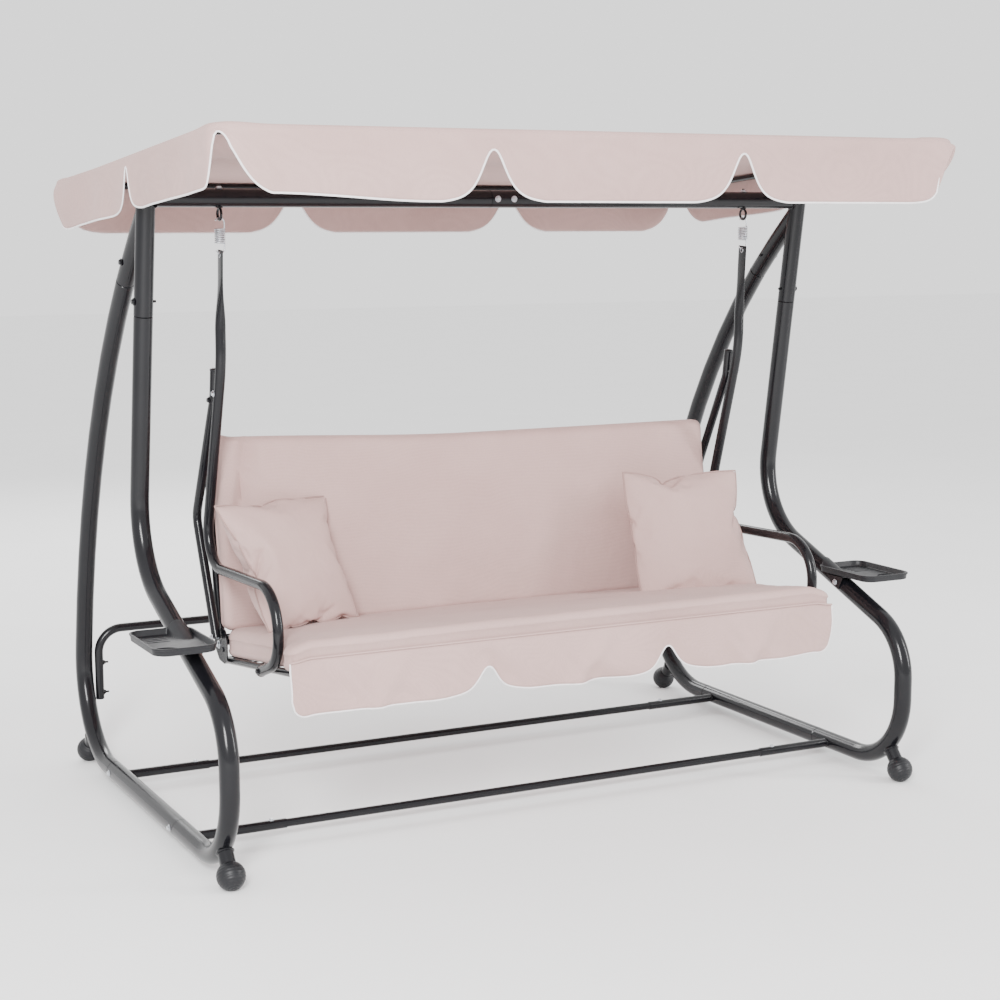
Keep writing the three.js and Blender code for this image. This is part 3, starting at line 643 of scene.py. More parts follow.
def spreaders():
    """The two floor bars, with a sleeve and a bolt near each end."""
    reach = FRAME_X - LEG_RADIUS + 0.002
    z, radius, bolt_x = 0.038, 0.011, 0.78
    inner, outer, length = radius + 0.0002, 0.0128, reach - 0.74
    sleeve = [(inner, 0), (outer, 0.0008), (outer, length - 0.001), (inner, length)]
    for name in ("front", "rear"):
        y = middle(f"{name}_spreader").y
        piece = Piece()
        piece.tube(level(-reach, reach, y, z), radius, sides=24)
        for side in (-1, 1):
            piece.bead(at(side * (reach - 0.003), y, z), radius + 0.0005, ALONG, 0.0022, count=24)
            piece.turned(sleeve, at(side * (reach - 0.001), y, z), ALONG * -side)
            piece.bolt(at(side * bolt_x, y, z + 0.0122), UP, ZINC, 0.0052)
        piece.build(f"{name}_floor_spreader", "frame", f"{name}_spreader")


def rear_brace():
    """The bar behind the bench, whose ends turn down and are bolted inside the rear legs."""
    x, y, z, low = 0.96, 0.65, 0.39, 0.18
    piece = Piece()
    piece.tube(bent([(-x, y, low), (-x, y, z, 0.07), (x, y, z, 0.07), (x, y, low)]), 0.0125)
    for side in (-1, 1):
        for height in (0.2, 0.29):
            inner = at(side * (x - 0.012), y, height)
            piece.bolt(inner, ALONG * -side, radius=0.0062)
            piece.tube([inner, inner - ALONG * (side * 0.016)], 0.003, sides=10)
    piece.build("rear_brace_tube", "frame", "rear_brace")


# ---------- side trays ----------
def loop_of(width, depth, radius, spacing):
    """A rounded rectangle about the origin: points (x, y) and outward ways (nx, ny)."""
    points = []
    for k, (cx, cy) in enumerate(((1, -1), (1, 1), (-1, 1), (-1, -1))):
        centre = Vector((cx * (width / 2 - radius), cy * (depth / 2 - radius)))
        arc = max(5, round(math.pi / 2 * radius / spacing))
        for i in range(arc + 1):
            angle = math.pi / 2 * (k - 1 + i / arc)
            way = Vector((math.cos(angle), math.sin(angle)))
            points.append((centre + way * radius, way))
        run = (depth, width)[k % 2] - 2 * radius
        forward = Vector((-way.y, way.x))
        count = max(1, round(run / spacing))
        start = points[-1][0]
        points.extend((start + forward * run * i / count, way) for i in range(1, count))
    return points


def tray_height(inset, z, x, y):
    """The height of the dish's skin at x and y from its middle: it dips at the cup and humps over the leg."""
    if inset <= 0.005:
        return z
    cup_x, cup_y, cup_radius = TRAY_CUP
    away = math.hypot(x - cup_x, y - cup_y)
    top = z - 0.0036 * (1 - blend_01(away, cup_radius - 0.003, cup_radius))
    reach = LEG_RADIUS + 0.0035
    across = abs(TRAY_X + x - FRAME_X)
    if z >= TRAY_FLOOR_Z and across < reach:
        hump = diagonal_z(TRAY_Y + y) + math.sqrt(reach ** 2 - across ** 2) * 1.07
        top = max(top, min(hump, TRAY_RIM_Z + 0.026))
    return top


def trays():
    """A shallow moulded dish over the leg, with a lipped rim and a round recess for a cup."""
    width, depth = 0.164, size("right_tray").y
    floor, rim = TRAY_FLOOR_Z, TRAY_RIM_Z
    section = [
        (0.03, floor - 0.0035), (0.0095, floor - 0.004), (0.0035, floor - 0.002), (0.002, rim - 0.005),
        (0.0, rim - 0.0042), (0.0, rim - 0.0008), (0.001, rim), (0.0045, rim), (0.0055, rim - 0.0008),
        (0.0068, floor + 0.0024), (0.0095, floor),
    ]
    section += [(0.0095 + 0.0029 * k, floor) for k in range(1, 25)]
    outline = loop_of(width, depth, 0.034, 0.003)
    cup_x, cup_y, cup_radius = TRAY_CUP
    rib_start, rib_end = FRAME_X + 0.045, TRAY_X + width / 2 - 0.02
    for name, side in SIDES:
        rings = []
        for inset, z in section:
            ring = []
            for (edge_x, edge_y), _ in outline:
                x, y = edge_x * (1 - inset / (width / 2)), edge_y * (1 - inset / (depth / 2))
                ring.append(at(side * (TRAY_X + x), TRAY_Y + y, tray_height(inset, z, x, y)))
            rings.append(ring)
        piece = Piece()
        piece.rings(rings, PLASTIC)
        cup = at(side * (TRAY_X + cup_x), TRAY_Y + cup_y, floor + 0.0004)
        piece.bead(cup, cup_radius + 0.0015, UP, 0.0016, PLASTIC, 48)
        for k in range(4):
            rib_y = TRAY_Y + 0.035 + 0.018 * k
            piece.tube(level(side * rib_start, side * rib_end, rib_y, floor), 0.0012, PLASTIC, 8)
        piece.build(f"{name}_tray_dish", "frame", f"{name}_tray", 50)
        tray_strap(name, side)


def tray_strap(name, side):
    """The steel strap that holds a tray against the inner face of its leg."""
    x = side * (FRAME_X - LEG_RADIUS - 0.002)
    strap = Piece()
    strap.plate([(-0.372, 0.514), (-0.346, 0.522), (-0.31, 0.5505), (-0.39, 0.5505)], x, 0.003)
    flange = [(-0.385, 0.5490), (-0.315, 0.5490), (-0.315, 0.5512), (-0.385, 0.5512)]
    strap.plate(flange, side * (FRAME_X - 0.013), 0.026)
    strap.bolt(at(x - side * 0.0014, -0.354, 0.532), ALONG * -side, ZINC)
    strap.build(f"{name}_tray_strap", "frame", f"{name}_tray_bracket")


# ---------- springs and hangers ----------
STAY_BOLT_Y = -0.028
STAY_BOLT_Z = 1.138


def springs():
    """Close-wound coils with a hooked end in each eye, stretching between the two bodies they join."""
    coil, low, high = 0.0125, 1.529, 1.567
    turns, each = 8, 22
    for name, side in SIDES:
        centre = at(side * HANGER_X, BEAM_Y, 0)
        line = loop_end(centre, coil, low, HANGER_EYE_Z + 0.003)
        for k in range(turns * each + 1):
            angle = 2 * math.pi * k / each
            z = low + (high - low) * k / (turns * each)
            line.append(centre + Vector((coil * math.cos(angle), coil * math.sin(angle), z)))
        line += reversed(loop_end(centre, coil, high, SWING_Z))
        piece = Piece()
        piece.tube(line, WIRE_RADIUS, ZINC, 10)
        spring = piece.build(f"{name}_coil_spring", None, f"{name}_spring", 60)
        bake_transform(spring)


def loop_end(centre, coil, coil_z, end_z):
    """The hook at a spring's end: a half loop of the wire that comes back to the coil."""
    middle_z = (coil_z + end_z) / 2
    half = (end_z - coil_z) / 2
    line = []
    for k in range(17):
        angle = math.pi * (0.86 - 0.86 * k / 16)
        line.append(centre + Vector((coil * math.cos(angle), 0, middle_z + half * math.sin(angle))))
    for k in range(1, 5):
        line.append(centre + Vector((coil, 0, middle_z + (coil_z - middle_z) * k / 5)))
    return line


def hanger_top_y(z):
    return BEAM_Y + 0.067 * (HANGER_EYE_Z - z)


def hanger_line(x):
    stations = [(hanger_top_y(z), z) for z in (1.512 - 0.008 * k for k in range(27))]
    return side_bent(x, [
        *stations, (-0.078, 1.215, 0.4), (0.095, 0.662, 0.095), (-0.469, 0.681, 0.11), (-0.468, 0.498, 0.09),
        (-0.34, 0.452),
    ])


def hanger_widths(point):
    """The round tube is pressed flat towards its top."""
    t = blend_01(point.z, 1.31, 1.45)
    return [HANGER_RADIUS + (pressed - HANGER_RADIUS) * t for pressed in (0.0025, 0.02)]


def hangers():
    """The tubes that hang from the springs, run forward as armrests and end at the seat."""
    for name, side in SIDES:
        x = side * HANGER_X
        out = ALONG * side
        piece = Piece()
        piece.tube(hanger_line(x), HANGER_RADIUS, normals=[ALONG], widths=hanger_widths)
        eye = at(x, BEAM_Y, HANGER_EYE_Z)
        for face in (-1, 1):
            piece.bead(eye + ALONG * (face * 0.0026), 0.0068, ALONG, 0.001, ZINC, 28)
            piece.turned([(0.006, 0), (0.006, 0.0004)], eye + ALONG * (face * 0.0024), ALONG * face, PLASTIC)
        plug = [(0.0137, -0.001), (0.0146, 0), (0.0146, 0.003), (0.012, 0.0062), (0.003, 0.0072)]
        piece.turned(plug, at(x, -0.34, 0.452), Vector((0, 0.128, -0.046)), PLASTIC)
        bolt_y = -0.352
        bolt_z = seat_z(bolt_y) + 0.002
        piece.tube(level(x, side * (RAIL_X + 0.0103), bolt_y, bolt_z), 0.007)
        piece.bolt(at(x + side * 0.0135, bolt_y, bolt_z), out)
        piece.bolt(at(x + side * 0.0135, STAY_BOLT_Y - 0.022, STAY_BOLT_Z), out, ZINC)
        piece.build(f"{name}_hanger_tube", "bench", f"{name}_hanger")
        stay(name, side, x)


def stay(name, side, x):
    """The thinner tube that leaves the hanger, bows out to the back and ends at the seat rail."""
    out = ALONG * side
    top_y, top_z, radius = -0.024, 1.197, 0.0125
    piece = Piece()
    piece.tube(side_bent(x, [
        (top_y, top_z), (-0.014, 1.125, 0.06), (0.161, 0.785, 0.06), (0.014, 0.47),
    ]), radius)
    piece.tube([at(x, y, STAY_BOLT_Z) for y in (STAY_BOLT_Y, STAY_BOLT_Y - 0.016)], 0.006)
    plug = [(0.0124, -0.001), (0.0134, 0), (0.0134, 0.003), (0.011, 0.0052), (0.002, 0.006)]
    piece.turned(plug, at(x, top_y, top_z), Vector((0, -0.01, 0.072)), PLASTIC)
    piece.bolt(at(x + side * 0.012, 0.014, 0.474), out, ZINC)
    piece.bolt(at(x + side * 0.012, -0.008, 1.118), out)
    piece.bolt(at(side * 0.7922, 0.034, 0.448), out, ZINC, 0.0082)
    piece.build(f"{name}_stay_tube", "bench", f"{name}_stay")


# ---------- seat and backrest ----------
def lock_knobs():
    """A five-lobed plastic knob with a zinc nut."""
    lobes, sides, reach = 5, 60, 0.0165
    profile = ((0.8, 0), (0.97, 0.001), (1, 0.003), (1, 0.0105), (0.94, 0.0132), (0.6, 0.015))
    for name, side in SIDES:
        inward = ALONG * -side
        base = at(side * (KNOB_X + 0.0075), RECLINE_Y, RECLINE_Z)
        rings = []
        for scale, height in profile:
            ring = []
            for k in range(sides):
                angle = 2 * math.pi * k / sides
                radius = reach * scale * (0.9 + 0.1 * math.cos(lobes * angle))
                spoke = Vector((0, radius * math.cos(angle), radius * math.sin(angle)))
                ring.append(base + inward * height + spoke)
            rings.append(ring)
        piece = Piece()
        piece.rings(rings, PLASTIC)
        piece.nut(base + inward * 0.0135, inward, 0.006, 0.0015, 0.0007)
        piece.build(f"{name}_star_knob", f"{name}_lock_knob", f"{name}_lock_knob")


def seat_frame():
    ends = [(y, seat_z(y)) for y in (SEAT_FRONT, SEAT_REAR)]
    for name, side in SIDES:
        piece = Piece()
        piece.tube([at(side * RAIL_X, y, z) for y, z in ends], SEAT_RADIUS)
        piece.build(f"{name}_seat_tube", "bench", f"{name}_seat_rail")
    reach = RAIL_X + 0.006
    for name, (y, z) in zip(("front", "rear"), ends):
        piece = Piece()
        piece.tube(level(-reach, reach, y, z), SEAT_RADIUS)
        piece.build(f"seat_{name}_tube", "bench", f"seat_{name}_bar")


def wire_grid(name, body, node, half, foot, head, columns, rows):
    """A welded wire panel between foot and head, two points (y, z) in the side view."""
    piece = Piece()
    (y0, z0), (y1, z1) = foot, head
    for k in range(columns + 1):
        x = half * (2 * k / columns - 1)
        piece.tube([at(x, y0, z0), at(x, y1, z1)], WIRE_RADIUS, sides=8)
    for k in range(rows + 1):
        t = k / rows
        y, z = y0 + (y1 - y0) * t, z0 + (z1 - z0) * t
        piece.tube(level(-half, half, y, z), WIRE_RADIUS, sides=8)
    piece.build(name, body, node)


def backrest_frame():
    x, top_y = BACK_X, back_y(BACK_TOP)
    half = [(RECLINE_Y, RECLINE_Z - 0.012), (back_y(BACK_LOW), BACK_LOW, 0.12), (top_y, BACK_TOP, 0.06)]
    left = [(-x, *corner) for corner in half]
    right = [(x, *corner) for corner in reversed(half)]
    piece = Piece()
    piece.tube(bent(left + right), BACK_RADIUS)
    piece.build("backrest_tube", "backrest", "backrest_frame")


# ---------- canopy ----------
def rails():
    """The canopy's frame: two bent ends that turn on the pivots, and a bar between them front and rear."""
    drop, inset, radius = 0.0133, 0.018, 0.009
    joint_x, rail_x, bend = 0.76, 1.017, 0.06
    front, rear = CANOPY_FRONT + inset, CANOPY_REAR - inset
    front_z, rear_z = canopy_z(front) - drop, canopy_z(rear) - drop
    for name, side in SIDES:
        piece = Piece()
        piece.tube(bent([
            (side * joint_x, front, front_z),
            (side * rail_x, front, front_z, bend),
            (side * rail_x, rear, rear_z, bend),
            (side * joint_x, rear, rear_z),
        ]), radius, sides=20)
        boss = [(0.0085, 0), (0.0095, 0.001), (0.0095, 0.004), (0.0085, 0.005)]
        piece.turned(boss, at(side * (rail_x + 0.0105), BEAM_Y, TILT_Z), ALONG * -side, PLASTIC)
        piece.build(f"{name}_canopy_tube", "canopy", f"{name}_canopy_rail")
    for name, y, z in (("front", front, front_z), ("rear", rear, rear_z)):
        piece = Piece()
        piece.tube(level(0.0006 - joint_x, joint_x - 0.0006, y, z), radius, sides=20)
        piece.build(f"canopy_{name}_tube", "canopy", f"canopy_{name}_bar")


def bell(distance, height, width, power=2.3, reach=0.14):
    """How far a hem rises at a distance from its notch's middle. A higher power is steeper."""
    def curve(s):
        return 1 / (1 + (s / width) ** power)
    foot = curve(reach)
    return height * (curve(distance) - foot) / (1 - foot) if distance < reach else 0


class Valance:
    """A hanging side of the canopy. Each notch is (middle, height, width and power of its bell)."""

    def __init__(self, drop, notches):
        self.drop = drop
        self.notches = notches

    def height(self, place):
        return self.drop - max(bell(abs(place - notch[0]), *notch[1:]) for notch in self.notches)


def canopy_loop():
    """Points round the canopy's edge: place, outward way, hanging height and length so far."""
    half = CANOPY_HALF
    left_corner, right_corner = (-half, 0.128, 0.074, 3), (half, 0.13, 0.03, 3)
    front = Valance(0.172, (left_corner, (-0.34, 0.122, 0.04), (0.366, 0.122, 0.04), right_corner))
    rear = Valance(0.146, ((-half, 0.12, 0.03), (-0.326, 0.1, 0.05), (0.4, 0.1, 0.05), (half, 0.12, 0.05)))
    left_front = (CANOPY_FRONT, 0.116, 0.024, 5)
    left = Valance(0.142, (left_front, (-0.067, 0.112, 0.028), (CANOPY_REAR, 0.1, 0.02)))
    right_rear = (CANOPY_REAR, 0.106, 0.06)
    right = Valance(0.126, ((CANOPY_FRONT, 0.12, 0.026), (-0.067, 0.1, 0.028), right_rear))
    points = []
    run = 0
    last = None
    for place, way in loop_of(2 * half, 2 * CANOPY_HALF_DEPTH, 0.045, 0.0065):
        here = Vector((place.x, place.y + CANOPY_MIDDLE_Y))
        end_share = abs(way.x)
        long_side = front if way.y < 0 else rear
        end = left if here.x < 0 else right
        height = end_share * end.height(here.y) + (1 - end_share) * long_side.height(here.x)
        height -= 0.018 * blend_01(-here.x, 0.5, 0.9) * blend_01(-way.y, 0, 1)
        run += (here - last).length if last else 0
        last = here
        points.append((here, Vector((way.x, way.y, 0)), height, run))
    return points, run


def flare(place, t):
    """How far an end of the sheet stands out past its frame, t down its side."""
    near_end = blend_01(abs(place.x), CANOPY_HALF - 0.16, CANOPY_HALF)
    if place.x > 0:
        amount = 0.034 * blend_01(-place.y, -0.5, 0.6)
    else:
        amount = 0.022 * blend_01(place.y, 0.2, 0.6)
    return math.copysign(amount, place.x) * near_end * math.sin(math.pi * (0.14 + 0.86 * t) ** 0.85)


def canopy_top_ring(points, inset):
    """A ring of the sloping top: it sags, is propped near its corners and rolls over the rails."""
    shrink_y = inset * 0.98 / CANOPY_HALF if inset > 0.1 else inset / CANOPY_HALF_DEPTH
    rolled = 0
    if inset < CANOPY_TURN:
        rolled = CANOPY_TURN - math.sqrt(CANOPY_TURN ** 2 - (CANOPY_TURN - inset) ** 2)
    ring = []
    for place, *_ in points:
        x = place.x * (1 - inset / CANOPY_HALF)
        from_middle = (place.y - CANOPY_MIDDLE_Y) * (1 - shrink_y)
        y = CANOPY_MIDDLE_Y + from_middle
        u, v = x / CANOPY_HALF, from_middle / CANOPY_HALF_DEPTH
        sag = 0.009 * (1 - u * u) * (1 - v * v)
        sag += 0.0025 * wander(x * 3, y * 3, 2) * min(1, inset / 0.1)
        past = (abs(x) - CANOPY_HALF + 0.06, abs(from_middle) - CANOPY_HALF_DEPTH + 0.06)
        propped = 0.009 * math.exp(-(past[0] ** 2 + past[1] ** 2) / 0.05 ** 2)
        x += flare(place, 0) * max(0, 1 - inset / 0.1) ** 2
        ring.append(at(x, y, canopy_z(y) - sag - rolled + propped))
    return ring


def canopy_side_ring(points, length, t):
    """A ring of the hanging sides, t down from the rails to the hem, in slow waves and creases."""
    ring = []
    waves = 3.1 * 2.2
    for place, way, height, run in points:
        turn = 2 * math.pi * run / length
        wave = wander(waves * math.cos(turn), waves * math.sin(turn), t * 0.7)
        crease = wander(run * 9 - t * 1.6, t * 0.9, 5)
        out = t * (0.002 + 0.013 * wave) + 0.0035 * crease * math.sin(math.pi * min(1, t * 1.2))
        x = place.x + way.x * out + flare(place, t)
        hang = t * max(0.006, height - CANOPY_TURN)
        ring.append(at(x, place.y + way.y * out, canopy_z(place.y) - CANOPY_TURN - hang))
    return ring


def canopy_cover():
    """One sheet: a sloping top that turns down over the rails into four scalloped, bound sides."""
    points, length = canopy_loop()
    insets = (1.02, 0.97, 0.9, 0.8, 0.7, 0.6, 0.5, 0.4, 0.3, 0.2, 0.13, 0.08, 0.045, 0.025,
              CANOPY_TURN, 0.008, 0.0045, 0.0015)
    rings = [canopy_top_ring(points, inset) for inset in insets]
    rows = 20
    rings += [canopy_side_ring(points, length, (k / rows) ** 1.25) for k in range(rows + 1)]
    piece = Piece()
    piece.rings(rings, caps=False)
    piece.faces.append(tuple(range(len(points))))
    piece.finishes.append(0)
    cover = piece.build_cloth("canopy_sheet", "canopy", "canopy_cover")
    thicken(cover)
    tape = piping("canopy_tape", "canopy", rings[-1], 0.0026, [way for _, way, _, _ in points], True)


def piping(name, body, line, half_width, normals, loop=False):
    """The bound edge of a sheet, a flattened bar along its hem."""
    hem = Piece()
    widths = (PIPING_DEPTH, half_width)
    hem.tube(line, half_width, sides=10, loop=loop, normals=normals, widths=lambda point: widths)
    return hem.build_cloth(name, body, cloth=TAPE)


def thicken(piece):
    solidify = piece.modifiers.new("thickness", "SOLIDIFY")
    solidify.thickness = CLOTH_THICKNESS
    solidify.offset = -1


# ---------- cushions ----------
def skirt_rise(x):
    """How far the skirt's hem is cut up at x: two notches and two rounded corners."""
    corner = 0.045
    rise = max(bell(abs(x - notch_x), 0.07, 0.034, reach=0.12) for notch_x in (-0.27, 0.27))
    edge = corner - (CUSHION_HALF - abs(x))
    if edge > 0:
        rise = max(rise, corner - math.sqrt(max(0, corner ** 2 - edge ** 2)))
    return rise


def skirt_fold(x, t):
    """How far the skirt stands forward at x, t down it. Each fold is (middle, slant, depth)."""
    folds = ((-0.7, 0.12, 0.016), (-0.5, -0.08, 0.012), (-0.1, 0.1, 0.012), (0.1, -0.12, 0.014),
             (0.42, 0.1, 0.016), (0.62, -0.1, 0.012))
    fold = wander(x * 5.5 - t * 0.9, t * 0.8, 11) * 0.03 + wander(x * 14 - t * 1.5, t, 3) * 0.008
    for centre, slant, depth in folds:
        fold += depth * math.exp(-((x - centre - slant * t) / 0.03) ** 2) * (2.4 - 1.6 * t)
    return fold


def seat_skirt():
    """A cloth skirt sewn under the cushion's front edge: three panels with bound edges."""
    half = CUSHION_HALF
    top_z, drop = 0.523, 0.14
    columns, rows = 260, 16
    grid = []
    for j in range(rows + 1):
        t = j / rows
        swag = 0.004 * math.sin(math.pi * t)
        row = []
        for i in range(columns + 1):
            x = half * (2 * i / columns - 1)
            forward = 0.002 + t * (0.004 + skirt_fold(x, t)) + swag * (0.5 + wander(x * 8, 1, 1))
            top = top_z - 0.008 * blend_01(abs(x), half - 0.06, half)
            row.append(at(x, CUSHION_FRONT - forward, top - t * (drop - skirt_rise(x))))
        grid.append(row)
    piece = Piece()
    piece.sheet(grid)
    skirt = piece.build_cloth("seat_skirt_sheet", "bench", "seat_skirt")
    thicken(skirt)
    edge_line = [row[0] for row in grid[:-1]] + grid[-1] + [row[-1] for row in reversed(grid[:-1])]
    tape = piping("seat_skirt_tape", "bench", edge_line, 0.0022, [Vector((0, -1, 0))] * len(edge_line))
    seam = Piece()
    seam.tube([point + Vector((0, -0.0015, 0.001)) for point in grid[0]], 0.0026, sides=8)
    welt = seam.build_cloth("seat_skirt_welt", "bench")


def stuffed_rings(width, depth, thickness, corner, crown, roll):
    """Rings of (x, y, height) over a cushion lying flat: its top, its edge and its underside."""
    half = thickness / 2
    sections = []
    for share in (0.98, 0.85, 0.7, 0.55, 0.42, 0.3, 0.22, 0.16, 0.11, 0.075, 0.05):
        sections.append((share * depth / 2 + roll * max(0, 1 - share / 0.3), half))
    for k in range(9):
        angle = math.pi / 2 * (1 - k / 8)
        sections.append((roll * (1 - math.cos(angle)), half - roll * (1 - math.sin(angle))))
    sections.append((0.0022, half - roll - 0.002))
    sections += [(inset, -z) for inset, z in reversed(sections)]
    outline = loop_of(width, depth, corner, 0.012)
    rings = []
    for inset, z in sections:
        ring = []
        for (x, y), _ in outline:
            u, v = x * (2 / width) * (1 - 2 * inset / width), y * (2 / depth) * (1 - 2 * inset / depth)
            full = (1 - u ** 6) * (1 - v ** 4)
            ring.append((u * width / 2, v * depth / 2, z + math.copysign(crown * full, z)))
        rings.append(ring)
    return rings


def pulled(value, across, amount):
    """Pulls the middle of a side in between its corners."""
    return value * (1 - amount * (1 - across * across))


def seat_pad():
    """The seat's pad: a long box cushion with a roll at its front, crowned and quilted by use."""
    rear, thickness, narrow = 0.042, 0.078, 0.785
    depth, middle_y = rear - CUSHION_FRONT, (rear + CUSHION_FRONT) / 2
    rings = []
    for ring in stuffed_rings(2 * CUSHION_HALF, depth, thickness, 0.022, 0.006, 0.02):
        points = []
        for x, y, z in ring:
            u, v = x / CUSHION_HALF, y / (depth / 2)
            world_y = middle_y + pulled(y, u, 0.012)
            share = blend_01(world_y, CUSHION_FRONT + 0.05, CUSHION_FRONT + 0.085)
            share += 0.8 * blend_01(world_y, -0.02, 0.012)
            world_x = pulled(x, v, 0.008) * (1 + (narrow / CUSHION_HALF - 1) * share)
            ripple = wander(world_x * 5, world_y * 9, 1.5) * 0.0035
            ripple += wander(world_x * 16, world_y * 22, 4) * 0.0014
            shoulder = 0.014 * blend_01(abs(world_x), CUSHION_HALF - 0.07, CUSHION_HALF)
            lift = ripple - shoulder if z > 0 else 0
            underside = seat_z(world_y) + SEAT_RADIUS + 0.001
            points.append(at(world_x, world_y, underside + thickness / 2 + z + lift))
        rings.append(points)
    piece = Piece()
    piece.rings(rings)
    pad = piece.build_cloth("seat_pad", "bench", "seat_cushion")


def back_pad():
    """The back's pad, slack at its top edge and drawn up at its left end."""
    half, thickness, low, high = 0.784, 0.062, 0.488, 0.982
    height = high - low
    rings = []
    for ring in stuffed_rings(2 * half, height, thickness, 0.022, 0.004, 0.022):
        points = []
        for x, up, z in ring:
            u, v = x / half, up / (height / 2)
            world_z = (low + high) / 2 + pulled(up, u, 0.008)
            slack = 0.022 * blend_01(-x, 0, half) + 0.008 * blend_01(-x, half - 0.07, half - 0.02)
            world_z += slack * blend_01(v, 0.2, 1)
            ripple = wander(x * 4, world_z * 5, 9) * 0.005 + wander(x * 13, world_z * 11, 2) * 0.0016
            from_crease = (x + half - 0.05 - 0.055 * v) / 0.02
            crease = 0.026 * math.exp(-from_crease ** 2) * blend_01(v, -0.3, 0.5)
            lift = ripple - crease if z > 0 else 0
            world_y = back_y(world_z) - BACK_RADIUS - 0.004 - thickness / 2 - z - lift
            points.append(at(pulled(x, v, 0.006), world_y, world_z))
        rings.append(points)
    piece = Piece()
    piece.rings(rings)
    pad = piece.build_cloth("back_pad", "backrest", "back_cushion")


def pouch(name, side, cells=44):
    """Two square sheets sewn together round their edge, lying flat in the X-Z plane."""
    piece = Piece()
    places = [2 * k / cells - 1 for k in range(cells + 1)]
    for layer in (-1, 1):
        grid = []
        for v in places:
            row = []
            for u in places:
                inside = (1 - u * u) * (1 - v * v)
                wobble = 0.0012 * wander(u * 3, v * 3, layer + len(name))
                across = u * side / 2 * (1 + 0.075 * (1 - v * v))
                up = v * side / 2 * (1 + 0.075 * (1 - u * u))
                row.append(Vector((across, layer * (0.004 + wobble) * min(1, inside * 60), up)))
            grid.append(row)
        piece.sheet(grid)
    return piece


def inflate(pillow, frames=26):
    """Blows the sewn pouch up as cloth, so its edges pucker by themselves."""
    cloth = pillow.modifiers.new("cloth", "CLOTH")
    settings = cloth.settings
    settings.quality = 6
    settings.mass = 0.25
    settings.tension_stiffness = 40
    settings.compression_stiffness = 20
    settings.shear_stiffness = 12
    settings.bending_stiffness = 0.4
    settings.air_damping = 6
    settings.use_pressure = True
    settings.uniform_pressure_force = 5
    settings.effector_weights.gravity = 0
    cloth.collision_settings.use_collision = False
    cloth.point_cache.frame_end = frames
    for number in range(1, frames + 1):
        bpy.context.scene.frame_set(number)
    shape = bpy.data.meshes.new_from_object(pillow.evaluated_get(bpy.context.evaluated_depsgraph_get()))
    pillow.modifiers.clear()
    pillow.data = shape
    bpy.context.scene.frame_set(1)


def pillows():
    """Two square throw pillows that lean on the back at either end."""
    thickness, sewing = 0.14, 1.12
    places = {  # side, middle, lean, yaw, roll and how much wider the top is
        "left": (0.364, (-0.626, -0.104, 0.682), 0.50, 0.40, 0.03, 0.1),
        "right": (0.38, (0.588, -0.158, 0.684), 0.42, -0.1, 0.0, 0.02),
    }
    for name, (side, place, lean, yaw, roll, taper) in places.items():
        piece = pouch(name, side * sewing)
        pillow = piece.build_cloth(f"{name}_throw_pillow", None, f"{name}_pillow", sharp=80)
        turn_faces_out(pillow.data, join_within=1e-5)
        border = [v.index for v in pillow.data.vertices if abs(v.co.y) < 1e-7]
        border.sort(key=lambda k: math.atan2(pillow.data.vertices[k].co.z, pillow.data.vertices[k].co.x))
        inflate(pillow)
        fit(pillow.data, (side, thickness, side))
        for vertex in pillow.data.vertices:
            vertex.co.x *= 1 + taper * vertex.co.z / (side / 2)
            vertex.co.y *= 1.25 if vertex.co.y > 0 else 0.75
        tilt = Matrix.Rotation(-lean, 4, "X") @ Matrix.Rotation(roll, 4, "Y")
        pillow.data.transform(Matrix.Translation(at(*place)) @ Matrix.Rotation(yaw, 4, "Z") @ tilt)
        pillow.data.shade_smooth()
        smooth = pillow.modifiers.new("smooth", "SUBSURF")
        smooth.levels = 1
        smooth.render_levels = 1
        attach(pillow, "backrest")
        seam = Piece()
        seam.tube([pillow.data.vertices[k].co.copy() for k in border], 0.0022, sides=8, loop=True)
        # The welt takes the darker cloth: painted shade along the pillow's seam.
        seam.build_cloth(f"{name}_pillow_welt", "backrest", cloth=SHADED_SEAM_CLOTH)


def fit(mesh, wanted):
    """Scales a shape about its middle to the wanted size."""
    for axis in range(3):
        values = [vertex.co[axis] for vertex in mesh.vertices]
        low, high = min(values), max(values)
        for vertex in mesh.vertices:
            vertex.co[axis] = (vertex.co[axis] - (low + high) / 2) * wanted[axis] / (high - low)


# ---------- stage ----------
def soft_light(name, place, target, energy, width, height):
    light = bpy.data.lights.new(name, "AREA")
    light.shape = "RECTANGLE"
    light.size = width
    light.size_y = height
    light.energy = energy
    lamp = bpy.data.objects.new(name, light)
    bpy.context.scene.collection.objects.link(lamp)
    lamp.location = place
    lamp.rotation_euler = (Vector(target) - Vector(place)).to_track_quat("-Z", "Y").to_euler()


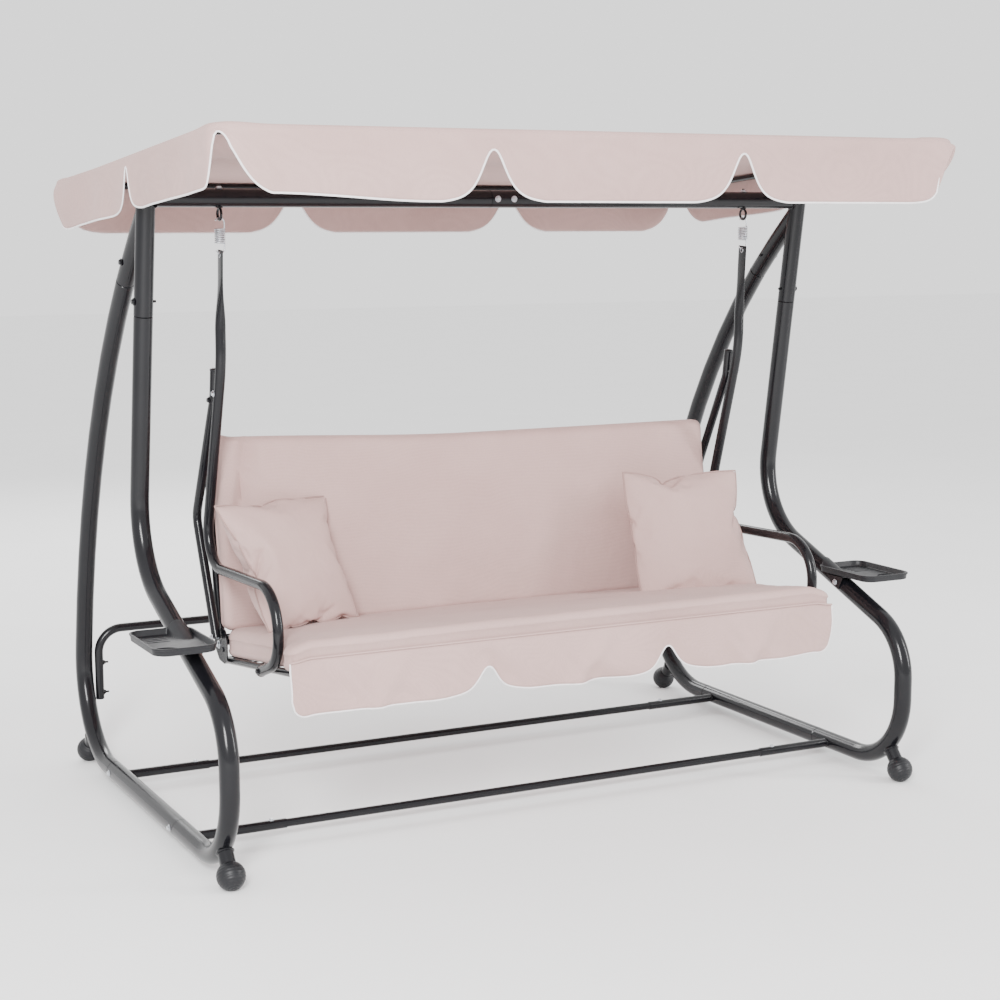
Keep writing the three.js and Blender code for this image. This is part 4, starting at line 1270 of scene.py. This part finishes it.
def studio():
    """A pale floor and plain soft light from the front left, the front right and behind."""
    reach, below = 30, 0.0005
    corners = ((-1, -1), (1, -1), (1, 1), (-1, 1))
    mesh = bpy.data.meshes.new("floor")
    mesh.from_pydata([(x * reach, y * reach, -below) for x, y in corners], [], [(0, 1, 2, 3)])
    mesh.materials.append(pale_floor())
    ground = bpy.data.objects.new("floor", mesh)
    bpy.context.scene.collection.objects.link(ground)
    world = bpy.data.worlds.new("studio")
    world.use_nodes = True
    background = world.node_tree.nodes["Background"]
    background.inputs["Color"].default_value = (1, 1, 1, 1)
    background.inputs["Strength"].default_value = 1.6
    bpy.context.scene.world = world
    soft_light("key", (-3.4, -5.0, 3.4), (0, 0, 0.8), 540, 1.2, 2.6)
    soft_light("fill", (4.6, -3.2, 2.2), (0, 0, 0.9), 150, 0.5, 3.0)
    soft_light("back", (0.5, 5.5, 3.6), (0, 0, 0.6), 170, 4.0, 1.5)


def camera():
    lens = bpy.data.cameras.new("camera")
    lens.lens = 69.69
    lens.sensor_width = 36
    lens.shift_x = 0.0007
    view = bpy.data.objects.new("camera", lens)
    bpy.context.scene.collection.objects.link(view)
    view.location = at(-2.43816, -4.90927, 1.57228)
    view.rotation_euler = (math.radians(90 - 8.0638), math.radians(0.145), -math.radians(26.854))
    bpy.context.scene.camera = view


def paint_kept_nodes():
    """The CAD nodes that still show get their slot's material."""
    slots = {"frame_steel": HARD[STEEL], "zinc": HARD[ZINC], "plastic": HARD[PLASTIC], "cloth": CLOTH}
    for part in frame["record"]["subparts"]:
        node = frame["nodes"][part["node"]]
        node.data.materials.clear()
        node.data.materials.append(slots[part["material_slot"]])


camera()
paint_kept_nodes()
legs()
floor_tubes()
top_corners()
beam()
eye_bolts()
spreaders()
rear_brace()
trays()
springs()
hangers()
lock_knobs()
seat_frame()
wire_grid("seat_wires", "bench", "seat_mesh", RAIL_X - 0.008,
          (SEAT_FRONT, seat_z(SEAT_FRONT)), (SEAT_REAR, seat_z(SEAT_REAR)), 30, 9)
backrest_frame()
wire_grid("backrest_wires", "backrest", "backrest_mesh", BACK_X - 0.008,
          (back_y(BACK_LOW), BACK_LOW), (back_y(BACK_TOP), BACK_TOP), 30, 8)
rails()
canopy_cover()
seat_pad()
seat_skirt()
back_pad()
pillows()
studio()
